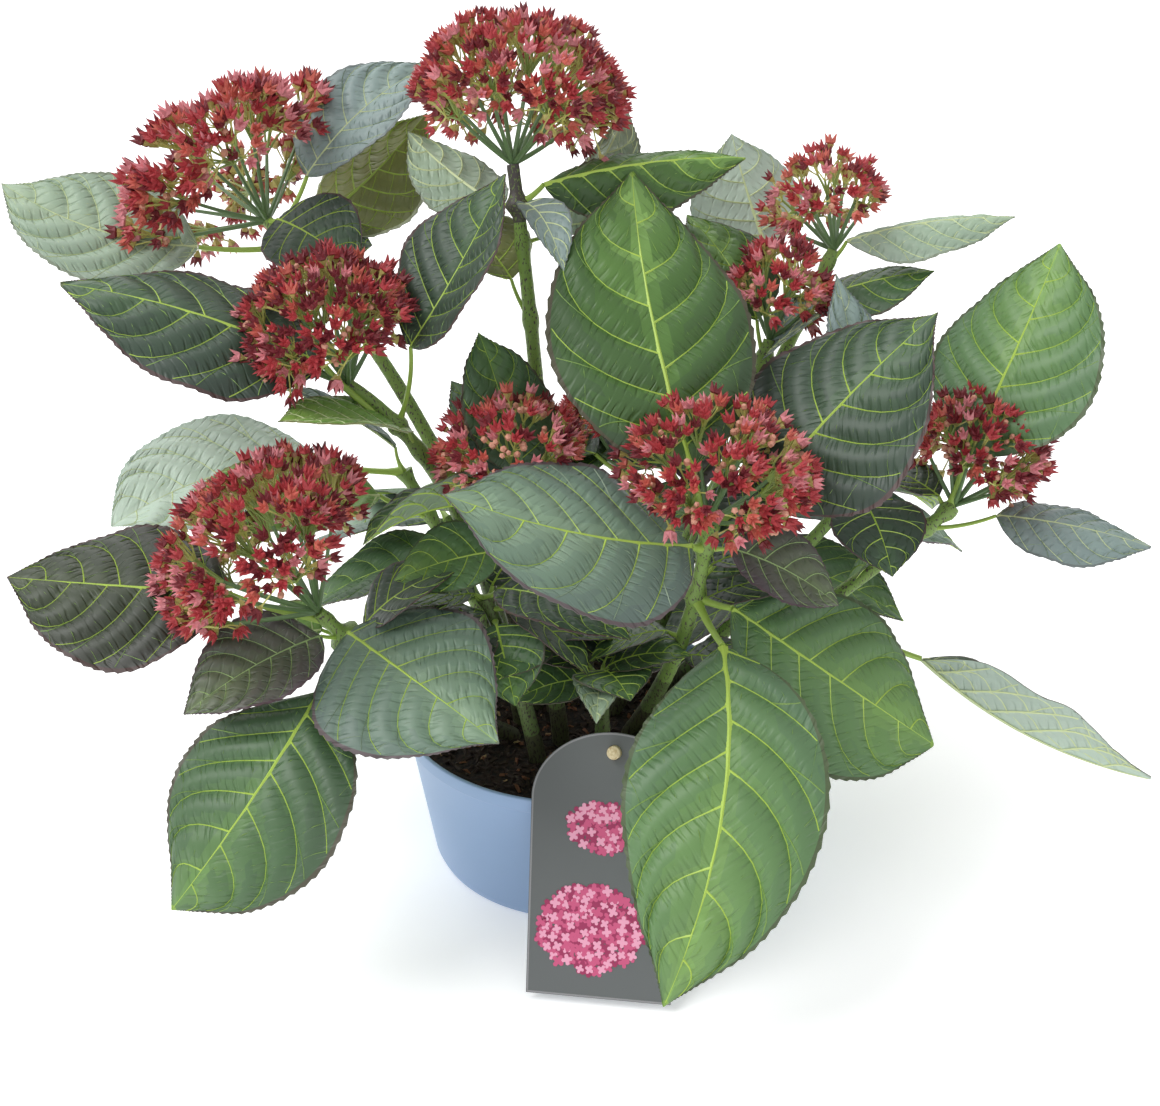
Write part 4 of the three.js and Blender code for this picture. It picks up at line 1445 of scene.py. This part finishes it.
@dataclass
class Umbel:
    """A domed head: arms fan out from a knuckle to trusses, and each truss bears stalked florets."""

    head: Head
    top: Array
    seed: int
    floret_apart: float = 6.0
    floret_size: float = 3.7
    under_share: float = 0.22
    hub_share: float = 0.6
    draws_between: int = 11
    cups: list[tuple[Array, Array]] = field(default_factory=list)
    buds: list[tuple[Array, Array]] = field(default_factory=list)
    lines: list[tuple[Array, Array, int]] = field(default_factory=list)
    centres: list[Array] = field(default_factory=list)

    def axes(self) -> tuple[Array, Array, Array, Array]:
        """Gives the head's heart, its axis and the two unit ways across it."""
        heart = np.array(self.head.heart, float)
        axis = unit(heart - self.top)
        side = unit(np.cross(np.array([0, 1.0, 0]), axis))
        return heart, axis, side, np.cross(axis, side)

    def dome(self, share: float, turn: float, reach: float) -> tuple[Array, Array]:
        """Gives a point of the dome and the way out of it there.

        Args:
            share: how far down the dome from its crown, from 0 to 1.
            turn: the turn about its axis.
            reach: the share of its full size.

        Returns:
            The point and the unit way out.
        """
        heart, axis, side, other = self.axes()
        tilt = math.acos(max(-1.0, 1 - 1.2 * share))
        way = (side * math.cos(turn) + other * math.sin(turn)) * math.sin(tilt)
        out = unit(way / self.head.radius + axis * math.cos(tilt) / self.head.rise)
        return heart + reach * (self.head.radius * way + axis * self.head.rise * math.cos(tilt)), out

    def nearest(self, place: Array) -> int:
        """Gives the number of the truss whose middle is nearest to a place."""
        return int(np.argmin([np.linalg.norm(place - centre) for centre in self.centres]))

    def grow(self) -> None:
        """Grows the trusses by the head's seeded rule, then their florets with stalks."""
        head = self.head
        heart, axis, side, other = self.axes()
        draw, vary = Draw(self.seed), np.random.default_rng(self.seed)
        for k in range(head.trusses):
            tilt = math.acos(1 - 1.12 * (k + 0.5) / head.trusses)
            turn = k * GOLDEN_ANGLE
            reach = 1 - head.loose * 0.2 * draw()
            for _ in range(self.draws_between):
                draw()
            way = (side * math.cos(turn) + other * math.sin(turn)) * math.sin(tilt)
            self.centres.append(heart + reach * (head.radius * way + axis * head.rise * math.cos(tilt)))
        area = 2 * math.pi * head.radius * (head.radius + head.rise) / 2 * 1.2
        count = round(area / self.floret_apart**2 * (1 - 0.3 * head.loose))
        trusses: list[list[tuple[Array, Array]]] = [[] for _ in self.centres]
        for j in range(count):
            if vary.uniform() < head.bare:
                continue
            turn = j * GOLDEN_ANGLE + vary.uniform(-0.1, 0.1)
            place, out = self.dome((j + 0.5) / count, turn, vary.uniform(0.82, 1.0))
            near = self.nearest(place)
            place = place + (self.centres[near] - place) * 0.42 * head.loose
            trusses[near].append((place, out))
        for _ in range(round(count * self.under_share)):
            share, turn, reach = vary.uniform(0.45, 1.0), vary.uniform(0, 2 * np.pi), vary.uniform(0.6, 0.85)
            place, out = self.dome(share, turn, reach)
            place = place - axis * head.rise * vary.uniform(0.1, 0.4)
            trusses[self.nearest(place)].append((place, unit(out + place - heart)))
        for centre, florets in zip(self.centres, trusses):
            if florets:
                self.truss(centre, florets, vary)

    def truss(self, centre: Array, florets: list[tuple[Array, Array]], vary: np.random.Generator) -> None:
        """Grows one truss: an arm to its hub, spokes to knots, and a stalk to each floret.

        Args:
            centre: the middle of its florets.
            florets: the florets' places and the ways out of the dome there.
            vary: the head's row of random numbers.
        """
        start = self.top + (centre - self.top) * 0.02
        hub = self.top + (centre - self.top) * self.hub_share
        out = unit(centre - self.top)
        bow = (start + hub) / 2 + np.array([0, 0, -1.0]) * vary.uniform(0, 3)
        self.lines.append((bezier(start, bow, hub, np.linspace(0, 1, 6)), np.linspace(1.35, 0.9, 6), 0))
        across = unit(np.cross(out, np.array([0.3, 0.2, 1.0])))
        deep = np.cross(out, across)
        spread = [place - centre for place, _ in florets]
        angles = [math.atan2(np.dot(way, deep), np.dot(way, across)) for way in spread]
        order = [florets[k] for k in np.argsort(angles)]
        knots = max(1, round(len(order) / 4))
        for group in np.array_split(np.arange(len(order)), knots):
            places = np.array([order[k][0] for k in group])
            knot = hub + (places.mean(axis=0) - hub) * 0.55
            spoke = np.array([hub, (hub + knot) / 2 + out * 0.8, knot])
            self.lines.append((spoke, np.array([0.8, 0.65, 0.6]), 1))
            for k in group:
                place, way = order[k]
                facing = unit(way + unit(place - knot) * 0.7 + vary.normal(0, 0.2, 3))
                base = place - facing * vary.uniform(0.5, 4.5)
                if vary.uniform() < self.head.budding:
                    base = knot + (base - knot) * vary.uniform(0.55, 0.9)
                    self.buds.append((base, facing))
                else:
                    self.cups.append((base, facing))
                bend = (knot + base) / 2 - facing * 1.0
                stalk = np.array([knot, bend, base + facing * 0.4])
                self.lines.append((stalk, np.array([0.55, 0.42, 0.6]), 2))

    def stalks(self, patchwork: Patchwork, recipe: Recipe) -> None:
        """Adds the arms, spokes and floret stalks to a patchwork."""
        for level, finish, corners in ((0, ARM, 6), (1, SPOKE, 5), (2, PEDICEL, 3)):
            chosen = [line for line in self.lines if line[2] == level]
            mesh = bpy.data.meshes.new("lines")
            points = np.concatenate([line[0] for line in chosen])
            starts = np.cumsum([0] + [len(line[0]) for line in chosen])
            edges = [(k, k + 1) for a, b in zip(starts[:-1], starts[1:]) for k in range(a, b - 1)]
            mesh.from_pydata((points * MM).tolist(), edges, [])
            girth = mesh.attributes.new("girth", "FLOAT", "POINT")
            girth.data.foreach_set("value", np.concatenate([line[1] for line in chosen]) * MM)
            patchwork.add_mesh(recipe.run(mesh, {"Corners": corners, "Material": Finishes.of(finish)}))

    def blossom(self, patchwork: Patchwork, recipe: Recipe, kit: FloretKit) -> None:
        """Adds the florets and buds, their tints dealt out by a seeded draw.

        Args:
            patchwork: the patchwork to add them to.
            recipe: the recipe that sets them on points.
            kit: the shapes that are set.
        """
        vary = np.random.default_rng(self.seed + 500)
        shares = np.array(SEPAL_SHARES) + self.head.dusk * np.array([0.0, 1.0, -0.55, -0.45])
        tint = vary.choice(len(SEPALS), size=len(self.cups), p=shares)
        sets = [([c for c, mine in zip(self.cups, tint) if mine == k], kit.cup, finish)
                for k, finish in enumerate(SEPALS)]
        sets += [(chosen, kit.calyx, CALYX) for chosen, _, _ in list(sets)] + [(self.buds, kit.bud, BUD)]
        for k, (chosen, thing, finish) in enumerate(sets):
            if not chosen:
                continue
            mesh = bpy.data.meshes.new("floret places")
            mesh.from_pydata([tuple(place * MM) for place, _ in chosen], [], [])
            facing = mesh.attributes.new("facing", "FLOAT_VECTOR", "POINT")
            facing.data.foreach_set("vector", np.concatenate([way for _, way in chosen]))
            values = {
                "Thing": thing, "Size": self.floret_size * self.head.floret, "Spread": 0.3,
                "Seed": self.seed + k % len(SEPALS), "Material": Finishes.of(finish),
            }
            patchwork.add_mesh(recipe.run(mesh, values))


@dataclass(frozen=True)
class FloretKit:
    """The small shapes that the heads repeat, drawn 1 mm in radius: a cup of sepals, its calyx and a bud."""

    cup: Any
    calyx: Any
    bud: Any

    @classmethod
    def make(cls) -> FloretKit:
        """Makes the shapes, each closed and of a few dozen faces."""
        five, ten = circle(5), circle(10)

        def ring(turn: Array, radius: Any, height: Any) -> list[tuple[float, float, float]]:
            """Gives the points of one ring."""
            wide, high = np.broadcast_to(radius, turn.shape), np.broadcast_to(height, turn.shape)
            return [(r * math.cos(a), r * math.sin(a), z) for a, r, z in zip(turn, wide, high)]

        def fan(hub: int, first: int, corners: int, way: int) -> Faces:
            """Gives the faces from a hub to a ring, seen anticlockwise from above, or below if way is -1."""
            return [(hub, first + k, first + (k + 1) % corners)[::way] for k in range(corners)]

        tips = np.arange(10) % 2 == 0
        belly = ring(five, 0.86, 0.62)
        rim = ring(ten, np.where(tips, 1.02, 0.56), np.where(tips, 2.1, 1.05))
        points = [(0, 0, 0), *belly, *rim, (0, 0, 0.9)]
        faces = fan(0, 1, 5, -1)
        for k in range(5):
            low, after = 1 + k, 1 + (k + 1) % 5
            tip, notch, last = 6 + 2 * k, 6 + 2 * k + 1, 6 + (2 * k + 2) % 10
            faces += [(low, notch, tip), (low, after, notch), (after, last, notch)]
        faces += fan(16, 6, 10, 1)
        cup = template("floret cup", np.array(points), faces)
        points = [(0, 0, -0.8), *ring(five, 0.7, 0.34), (0, 0, 0.45)]
        calyx = template("floret calyx", np.array(points), fan(0, 1, 5, -1) + fan(6, 1, 5, 1))
        points = [(0, 0, 0), *ring(five, 0.5, 0.35), *ring(five, 0.45, 0.95), (0, 0, 1.2)]
        faces = fan(0, 1, 5, -1) + fan(11, 6, 5, 1)
        faces += [(1 + k, 1 + (k + 1) % 5, 6 + (k + 1) % 5, 6 + k) for k in range(5)]
        return cls(cup, calyx, template("floret bud", np.array(points), faces))


# ---- pot, compost and label


@dataclass(frozen=True)
class Pot:
    """A wide, low nursery pot: a thin tapering wall on a flat floor, with a faint band under its rim."""

    height: float = 87.0
    rim_radius: float = 95.0
    foot_radius: float = 79.0
    wall: float = 2.2
    floor: float = 2.6
    band_height: float = 9.0
    band_depth: float = 1.5
    foot_inset: float = 4.0
    foot_round: float = 3.7
    corners: int = 160
    finish: MouldedFinish = MouldedFinish("pale blue moulded polypropylene", "#89a3c6", 0.42)

    def outer(self, z: float) -> float:
        """Gives the wall's outer radius at a height, below the band."""
        return self.foot_radius + (self.rim_radius - self.band_depth - self.foot_radius) * z / self.height

    def build(self) -> None:
        """Makes the pot's one piece."""
        band_foot = self.height - self.band_height
        rounded = [(math.cos(a), math.sin(a)) for a in np.radians([0, 25, 50, 75, 90])]
        foot, bend = self.foot_radius - self.foot_inset, self.foot_round
        profile = [(foot - 10, 0.0), (foot, 0.0)]
        profile += [(foot + bend * s, bend - bend * c) for c, s in rounded[1:4]]
        profile += [(self.outer(z), z) for z in (6.0, 30.0, 54.0, band_foot - 1.2)]
        profile += [(self.outer(band_foot) + 0.25, band_foot - 0.4), (self.rim_radius - 0.6, band_foot + 0.5)]
        profile += [(self.rim_radius - 0.3, band_foot + 1.4), (self.rim_radius, self.height - 1.4)]
        lip = self.wall / 2
        profile += [(self.rim_radius - lip + lip * c, self.height - lip + lip * s) for c, s in rounded]
        profile += [(self.rim_radius - lip - lip * s, self.height - lip + lip * c) for c, s in rounded[1:]]
        inner = self.foot_radius - self.wall
        profile += [(inner, self.floor + 3), (inner - 3, self.floor)]
        patchwork = Patchwork()
        points, faces = lathe(profile, self.corners)
        patchwork.add(points, faces, self.finish)
        patchwork.piece("pot_shell", "pot", ["pot"], 60.0)


@dataclass(frozen=True)
class Compost:
    """The compost in the pot: a lumpy top, with bark and fibre strewn on all but its rings by the wall."""

    radius: float = 90.6
    top: float = 79.0
    depth: float = 12.0
    rings: int = 30
    bare_rings: int = 4
    corners: int = 120
    finish: CompostFinish = CompostFinish("damp peat compost", "#0e0907", "#3a2a20")
    chips: tuple[MouldedFinish, ...] = (
        MouldedFinish("dark bark chip", "#2c1d15", 0.8),
        MouldedFinish("red bark chip", "#6a4228", 0.75),
        MouldedFinish("pale wood fibre", "#a08660", 0.7),
    )

    def height(self, x: Array, y: Array) -> Array:
        """Gives the lumpy top's height at places."""
        lumps = sum(
            size * np.sin(x / reach + 1.7 * k) * np.cos(y / reach - 0.9 * k)
            for k, (size, reach) in enumerate(((1.3, 13.0), (0.9, 7.0), (0.6, 3.7)))
        )
        edge = smoothstep(0.93, 1.0, np.hypot(x, y) / self.radius)
        return self.top + lumps * (1 - edge) - 1.5 * edge

    def surface(self) -> tuple[Array, Faces]:
        """Makes the closed body of the compost near its top."""
        turn = circle(self.corners)
        radii = self.radius * np.linspace(1.0, 0.02, self.rings)
        x, y = radii[:, None] * np.cos(turn), radii[:, None] * np.sin(turn)
        top = np.stack([x, y, self.height(x, y)], axis=-1)
        foot = np.stack([x[0] * 0.97, y[0] * 0.97, np.full(self.corners, self.top - self.depth)], axis=-1)
        return np.concatenate([foot[None], top]).reshape(-1, 3), ring_faces(self.rings + 1, self.corners)

    def build(self, litter: Recipe) -> None:
        """Makes the compost and the bark on it.

        Args:
            litter: the recipe that strews the bark.
        """
        patchwork = Patchwork()
        points, faces = self.surface()
        patchwork.add(points, faces, self.finish)
        patchwork.piece("compost_top", "compost", ["compost"], 60.0)
        chip = template(
            "bark chip",
            np.array([(-4, -1.2, 0), (-3.2, 1.4, -0.3), (3.4, 1.1, 0.1), (4.2, -0.8, -0.2),
                      (-2.6, -0.9, 1.5), (-2.4, 0.9, 1.2), (2.2, 0.8, 1.7), (2.9, -0.6, 1.1)]),
            [(0, 1, 2, 3), (7, 6, 5, 4), (0, 4, 5, 1), (1, 5, 6, 2), (2, 6, 7, 3), (3, 7, 4, 0)],
        )
        strewn = faces[self.bare_rings * self.corners : (self.rings - 1) * self.corners]
        ground = template("strewn ground", points, strewn).data
        bark = Patchwork()
        settings = ((3.4, 90000.0, 0.45, 1.0), (6.0, 14000.0, 0.4, 1.1), (9.0, 6000.0, 0.3, 0.8))
        for k, (finish, (apart, density, least, most)) in enumerate(zip(self.chips, settings)):
            values = {
                "Thing": chip, "Apart": apart * MM, "Density": density, "Seed": 40 + k, "Tilt": 0.7,
                "Least": least, "Most": most, "Material": Finishes.of(finish),
            }
            bark.add_mesh(litter.run(ground.copy(), values))
        bark.piece("bark_chips", "compost", [], 20.0)


@dataclass(frozen=True)
class Label:
    """The plant label: an arched laminated card that leans on the pot's rim, pegged through its top."""

    length: float = 133.0
    foot_width: float = 73.0
    shoulder_width: float = 81.0
    arch_rise: float = 34.0
    thickness: float = 1.2
    lean: float = math.radians(29.5)
    yaw: float = math.radians(8)
    foot_x: float = 11.0
    foot_z: float = 4.0
    hole_radius: float = 3.9
    hole_below_top: float = 10.0
    edge_softness: float = 0.2
    peg_radius: float = 3.5
    peg_proud: float = 6.0
    card: PrintedFinish = PrintedFinish("charcoal laminated card", "#626666")
    line: PrintedFinish = PrintedFinish("pale printed line", "#8e8e90")
    petals: tuple[PrintedFinish, ...] = (
        PrintedFinish("pink printed petal", "#c9567f"),
        PrintedFinish("light pink printed petal", "#e8a3bd"),
        PrintedFinish("deep pink printed petal", "#9c2f5a"),
    )
    peg: WoodFinish = WoodFinish("turned pale birch", "#d9cba6", "#b29a6c")

    @property
    def hole_up(self) -> float:
        """Gives how far up the card the middle of its hole is."""
        return self.length - self.hole_below_top

    def placed(self, points: Array, pot: Pot) -> Array:
        """Leans points of the card's own flat plan against the pot's rim.

        Args:
            points: points across, up and off the card's back, in millimetres.
            pot: the pot that it leans on.

        Returns:
            The points in the shrub's frame.
        """
        cos_lean, sin_lean = math.cos(self.lean), math.sin(self.lean)
        rim_reach = cos_lean * pot.rim_radius + sin_lean * pot.height + GAP
        foot_y = -(rim_reach - sin_lean * self.foot_z + cos_lean * math.sin(self.yaw) * self.foot_x)
        foot_y /= cos_lean * math.cos(self.yaw)
        x, up, off = np.asarray(points, float).T
        y = up * sin_lean - off * cos_lean
        z = up * cos_lean + off * sin_lean
        cos_yaw, sin_yaw = math.cos(-self.yaw), math.sin(-self.yaw)
        turned_x, turned_y = x * cos_yaw - y * sin_yaw, x * sin_yaw + y * cos_yaw
        return np.stack([turned_x + self.foot_x, turned_y + foot_y, z + self.foot_z], axis=1)

    def outline(self, inset: float = 0.0) -> Array:
        """Gives the card's outline, anticlockwise from its lower right corner."""
        shoulder = self.length - self.arch_rise
        turn = np.radians(np.linspace(0, 180, 41))
        x, up = self.shoulder_width / 2 * np.cos(turn), shoulder + self.arch_rise * np.sin(turn)
        arch = np.stack([x, up], axis=1)
        points = np.concatenate([[(self.foot_width / 2, 0)], arch, [(-self.foot_width / 2, 0)]])
        if not inset:
            return points
        before, after = np.roll(points, 1, axis=0), np.roll(points, -1, axis=0)
        way_in, way_out = unit(points - before), unit(after - points)
        normal = unit(np.stack([-(way_in + way_out)[:, 1], (way_in + way_out)[:, 0]], axis=1))
        square = np.clip((normal * np.stack([-way_in[:, 1], way_in[:, 0]], axis=1)).sum(axis=1), 0.5, 1)
        return points + normal * (inset / square)[:, None]

    def board(self, pot: Pot) -> None:
        """Makes the card with its hole and softened edges."""
        curve = bpy.data.curves.new("card", "CURVE")
        curve.dimensions, curve.fill_mode = "2D", "BOTH"
        turn = circle(24)
        hole = self.hole_radius * np.stack([np.cos(turn), np.sin(turn)], axis=1) + np.array([0, self.hole_up])
        soft = self.edge_softness
        for ring in (self.outline(soft), hole):
            spline = curve.splines.new("POLY")
            spline.points.add(len(ring) - 1)
            for point, (x, y) in zip(spline.points, ring):
                point.co = (x, y, 0, 1)
            spline.use_cyclic_u = True
        curve.extrude, curve.bevel_depth, curve.bevel_resolution = self.thickness / 2 - soft, soft, 1
        holder = bpy.data.objects.new("card", curve)
        bpy.context.scene.collection.objects.link(holder)
        depsgraph = bpy.context.evaluated_depsgraph_get()
        mesh = bpy.data.meshes.new_from_object(holder.evaluated_get(depsgraph))
        bpy.data.objects.remove(holder)
        flat = np.array([v.co for v in mesh.vertices]) + np.array([0, 0, self.thickness / 2])
        patchwork = Patchwork()
        patchwork.add(self.placed(flat, pot), [tuple(f.vertices) for f in mesh.polygons], self.card)
        patchwork.piece("label_board", "card", ["label_card"], 40.0)

    def edge_line(self, pot: Pot) -> None:
        """Makes the pale line printed round the card's front."""
        rings = []
        for inset, off in ((0.35, 0.0), (0.35, 0.12), (1.15, 0.12), (1.15, 0.0)):
            ring = self.outline(inset)
            rings.append(np.column_stack([ring, np.full(len(ring), self.thickness + off - 0.02)]))
        count = len(rings[0])
        faces = []
        for a in range(4):
            low, high = a * count, ((a + 1) % 4) * count
            for k in range(count):
                after = (k + 1) % count
                faces.append((low + k, low + after, high + after, high + k))
        patchwork = Patchwork()
        patchwork.add(self.placed(np.concatenate(rings), pot), faces, self.line)
        patchwork.piece("label_edge_line", "card", [], 30.0)

    def print_petals(self, pot: Pot, litter: Recipe) -> None:
        """Makes the printed design: two oval clusters of flat florets, each of four petals.

        Args:
            pot: the pot that the card leans on.
            litter: the recipe that strews the florets.
        """
        turn = circle(16)
        lobe = np.tile([1.0, 0.86, 0.46, 0.86], 4)
        flower = np.concatenate([
            np.stack([lobe * np.cos(turn), lobe * np.sin(turn), np.full(16, z)], axis=1) for z in (0.0, 0.06)
        ])
        sides = [(k, (k + 1) % 16, (k + 1) % 16 + 16, k + 16) for k in range(16)]
        petals = template("petals", flower, [tuple(range(15, -1, -1)), tuple(range(16, 32)), *sides])
        turn = circle(9)
        prints = Patchwork()
        for cluster, (x, up, wide, high) in enumerate(((-6.0, 34.0, 27.0, 22.0), (-3.0, 85.0, 18.0, 12.0))):
            ring = np.stack([x + wide * np.cos(turn), up + high * np.sin(turn)], axis=1)
            for k, finish in enumerate((self.petals[2], self.petals[0], self.petals[1])):
                off = self.thickness + 0.02 + 0.05 * k
                flat = np.column_stack([ring, np.full(9, off)])
                patch = template("oval", self.placed(flat, pot), [tuple(range(9))]).data
                values = {
                    "Thing": petals, "Apart": (2.6 + 0.8 * k) * MM, "Density": 200000.0, "Tilt": 0.0,
                    "Seed": 7 + 3 * cluster + k, "Least": 2.9 - 0.35 * k, "Most": 3.8 - 0.4 * k,
                    "Material": Finishes.of(finish),
                }
                prints.add_mesh(litter.run(patch, values))
        prints.piece("label_petals", "card", [], 20.0)

    def dowel(self, pot: Pot, compost: Compost) -> None:
        """Makes the peg, with its end rounded over."""
        hole_height = self.foot_z + self.hole_up * math.cos(self.lean)
        inside = (hole_height - compost.top - GAP) / math.sin(self.lean)
        inside -= self.peg_radius / math.tan(self.lean)
        r, end = self.peg_radius, self.peg_proud
        profile = [(r, -inside), (r, end - 1.0), (r - 0.3, end - 0.3), (r - 1.0, end), (0.4, end + 0.1)]
        points, faces = lathe(profile, 24)
        patchwork = Patchwork()
        patchwork.add(self.placed(points + np.array([0, self.hole_up, 0]), pot), faces, self.peg)
        patchwork.piece("label_dowel", "peg", ["label_peg"], 40.0)

    def build(self, pot: Pot, compost: Compost, litter: Recipe) -> None:
        """Makes the label's pieces."""
        self.board(pot)
        self.edge_line(pot)
        self.print_petals(pot, litter)
        self.dowel(pot, compost)


# ---- the shrub


@dataclass(frozen=True)
class Shrub:
    """All shoots, each with its cane, its twigs, its leaves and its florets as pieces apart."""

    shoots: tuple[Shoot, ...] = SHOOTS
    first_seed: int = 11
    # Each cane takes darker finishes up to these shares: painted shade under the foliage, with some real
    # browning of older wood.
    browned_shade_to: float = 0.16
    browning_shade_to: float = 0.32
    dark_from: float = 0.9
    root_depth: float = 6.0

    def build(self, sprigs: Recipe, spray: Recipe) -> None:
        """Makes the pieces of every shoot.

        Args:
            sprigs: the recipe that turns lines into stalks.
            spray: the recipe that sets florets on points.
        """
        for finish in (ARM, SPOKE, PEDICEL, CALYX, BUD, *SEPALS):
            Finishes.of(finish)
        kit = FloretKit.make()
        number = 0
        for k, shoot in enumerate(self.shoots):
            nodes = [leaf.at for leaf in shoot.leaves]
            stem = Patchwork()
            # Shoots in shade take the darker browning finish all along their cane as painted shade.
            young = CANE_BROWNING_SHADED if shoot.in_shade else CANE_GREEN
            cuts = (0.0, self.browned_shade_to, self.browning_shade_to, shoot.start)
            for start, end, finish in zip(cuts, cuts[1:], (CANE_BROWNED_SHADED, CANE_BROWNING_SHADED, young)):
                stem.add(*shoot.cane.stretch(start, end, nodes, 0.0 if start else self.root_depth), finish)
            stem.piece(f"stem_{shoot.name}", "cane", [f"cane_{shoot.name}"])
            twigs, leaves = Patchwork(), Patchwork()
            green_to = self.dark_from if shoot.dark_top else 1.0
            twigs.add(*shoot.cane.stretch(shoot.start - 0.01, green_to, nodes), young)
            if shoot.dark_top:
                twigs.add(*shoot.cane.stretch(green_to, 1.0, nodes), CANE_DARK)
            for leaf in (*shoot.leaves, *shoot.sprouts):
                blade = Blade.on(shoot.cane, leaf, number)
                blade.stalk(twigs, STALK)
                blade.lamina(leaves)
                blade.ribbing(leaves)
                number += 1
            if shoot.head:
                self.flower(shoot, self.first_seed + k, twigs, sprigs, spray, kit)
            twigs.piece(f"twigs_{shoot.name}", "foliage", [f"foliage_{shoot.name}"])
            leaves.piece(f"leaves_{shoot.name}", "foliage", [f"foliage_{shoot.name}"])

    def flower(
        self, shoot: Shoot, seed: int, twigs: Patchwork, sprigs: Recipe, spray: Recipe, kit: FloretKit
    ) -> None:
        """Adds a shoot's flower stalks to its twigs, and makes its florets' piece.

        Args:
            shoot: the shoot.
            seed: the head's seed.
            twigs: the patchwork of the shoot's twigs.
            sprigs: the recipe that turns lines into stalks.
            spray: the recipe that sets florets on points.
            kit: the florets' shapes.
        """
        umbel = Umbel(shoot.head, np.array(shoot.cane.top, float), seed)
        umbel.grow()
        umbel.stalks(twigs, sprigs)
        blossom = Patchwork()
        umbel.blossom(blossom, spray, kit)
        blossom.piece(f"florets_{shoot.name}", "foliage", [f"foliage_{shoot.name}"], 20.0)


# ---- stage, light and camera


@dataclass(frozen=True)
class Studio:
    """A pale floor, soft light from all round and a camera that looks down on the shrub."""

    floor_colour: str = "#fdfdfd"
    floor_size: float = 12.0
    floor_glow: float = 0.3
    sky_strength: float = 0.74
    lens: float = 58.97
    camera_place: Point = (0.002, -0.8916, 0.6345)
    camera_tilt: float = 63.0

    def floor(self) -> None:
        """Lays the floor just under the pot."""
        bpy.ops.mesh.primitive_plane_add(size=self.floor_size, location=(0, 0, -0.0005))
        floor = bpy.context.object
        floor.name = "floor"
        material, tree, shader = new_material("matt white floor", self.floor_colour, Roughness=0.9)
        link_bump(tree, shader, noise(tree, 40.0), 0.05, 0.001)
        shader.inputs["Emission Color"].default_value = (1.0, 1.0, 1.0, 1.0)
        shader.inputs["Emission Strength"].default_value = self.floor_glow
        floor.data.materials.append(material)

    def light(self) -> None:
        """Lights the scene with a white sky, a wide soft key from the upper left and a softer one behind."""
        world = bpy.context.scene.world or bpy.data.worlds.new("sky")
        bpy.context.scene.world = world
        world.use_nodes = True
        background = world.node_tree.nodes["Background"]
        background.inputs["Color"].default_value = linear("#fdfdff")
        background.inputs["Strength"].default_value = self.sky_strength
        lamps = (
            ("key", (-1.3, -0.35, 1.6), 40.0, 1.9),
            ("back", (-0.3, 1.5, 1.4), 50.0, 0.9),
        )
        for name, place, spread, power in lamps:
            data = bpy.data.lights.new(name, "SUN")
            data.angle, data.energy = math.radians(spread), power
            lamp = bpy.data.objects.new(name, data)
            bpy.context.scene.collection.objects.link(lamp)
            lamp.location = place
            x, y, z = place
            lamp.rotation_euler = (math.atan2(math.hypot(x, y), z), 0, math.atan2(x, -y))

    def camera(self) -> None:
        """Sets the camera."""
        data = bpy.data.cameras.new("camera")
        data.lens, data.sensor_width = self.lens, 36.0
        camera = bpy.data.objects.new("camera", data)
        bpy.context.scene.collection.objects.link(camera)
        camera.location = self.camera_place
        camera.rotation_euler = (math.radians(self.camera_tilt), 0, 0)
        bpy.context.scene.camera = camera

    def build(self) -> None:
        """Makes the floor, the lamps and the camera."""
        self.floor()
        self.light()
        self.camera()
        bpy.context.scene.view_settings.view_transform = "Standard"


def main() -> None:
    """Builds everything in order."""
    logging.basicConfig(level=logging.INFO, format="%(name)s %(message)s")
    pot, compost, label = Pot(), Compost(), Label()
    for finish in (*compost.chips, *label.petals):
        Finishes.of(finish)
    sprigs, spray, litter = sprig_recipe(), scatter_recipe(), litter_recipe()
    pot.build()
    compost.build(litter)
    label.build(pot, compost, litter)
    Shrub().build(sprigs, spray)
    Studio().build()


if __name__ == "__main__":
    main()
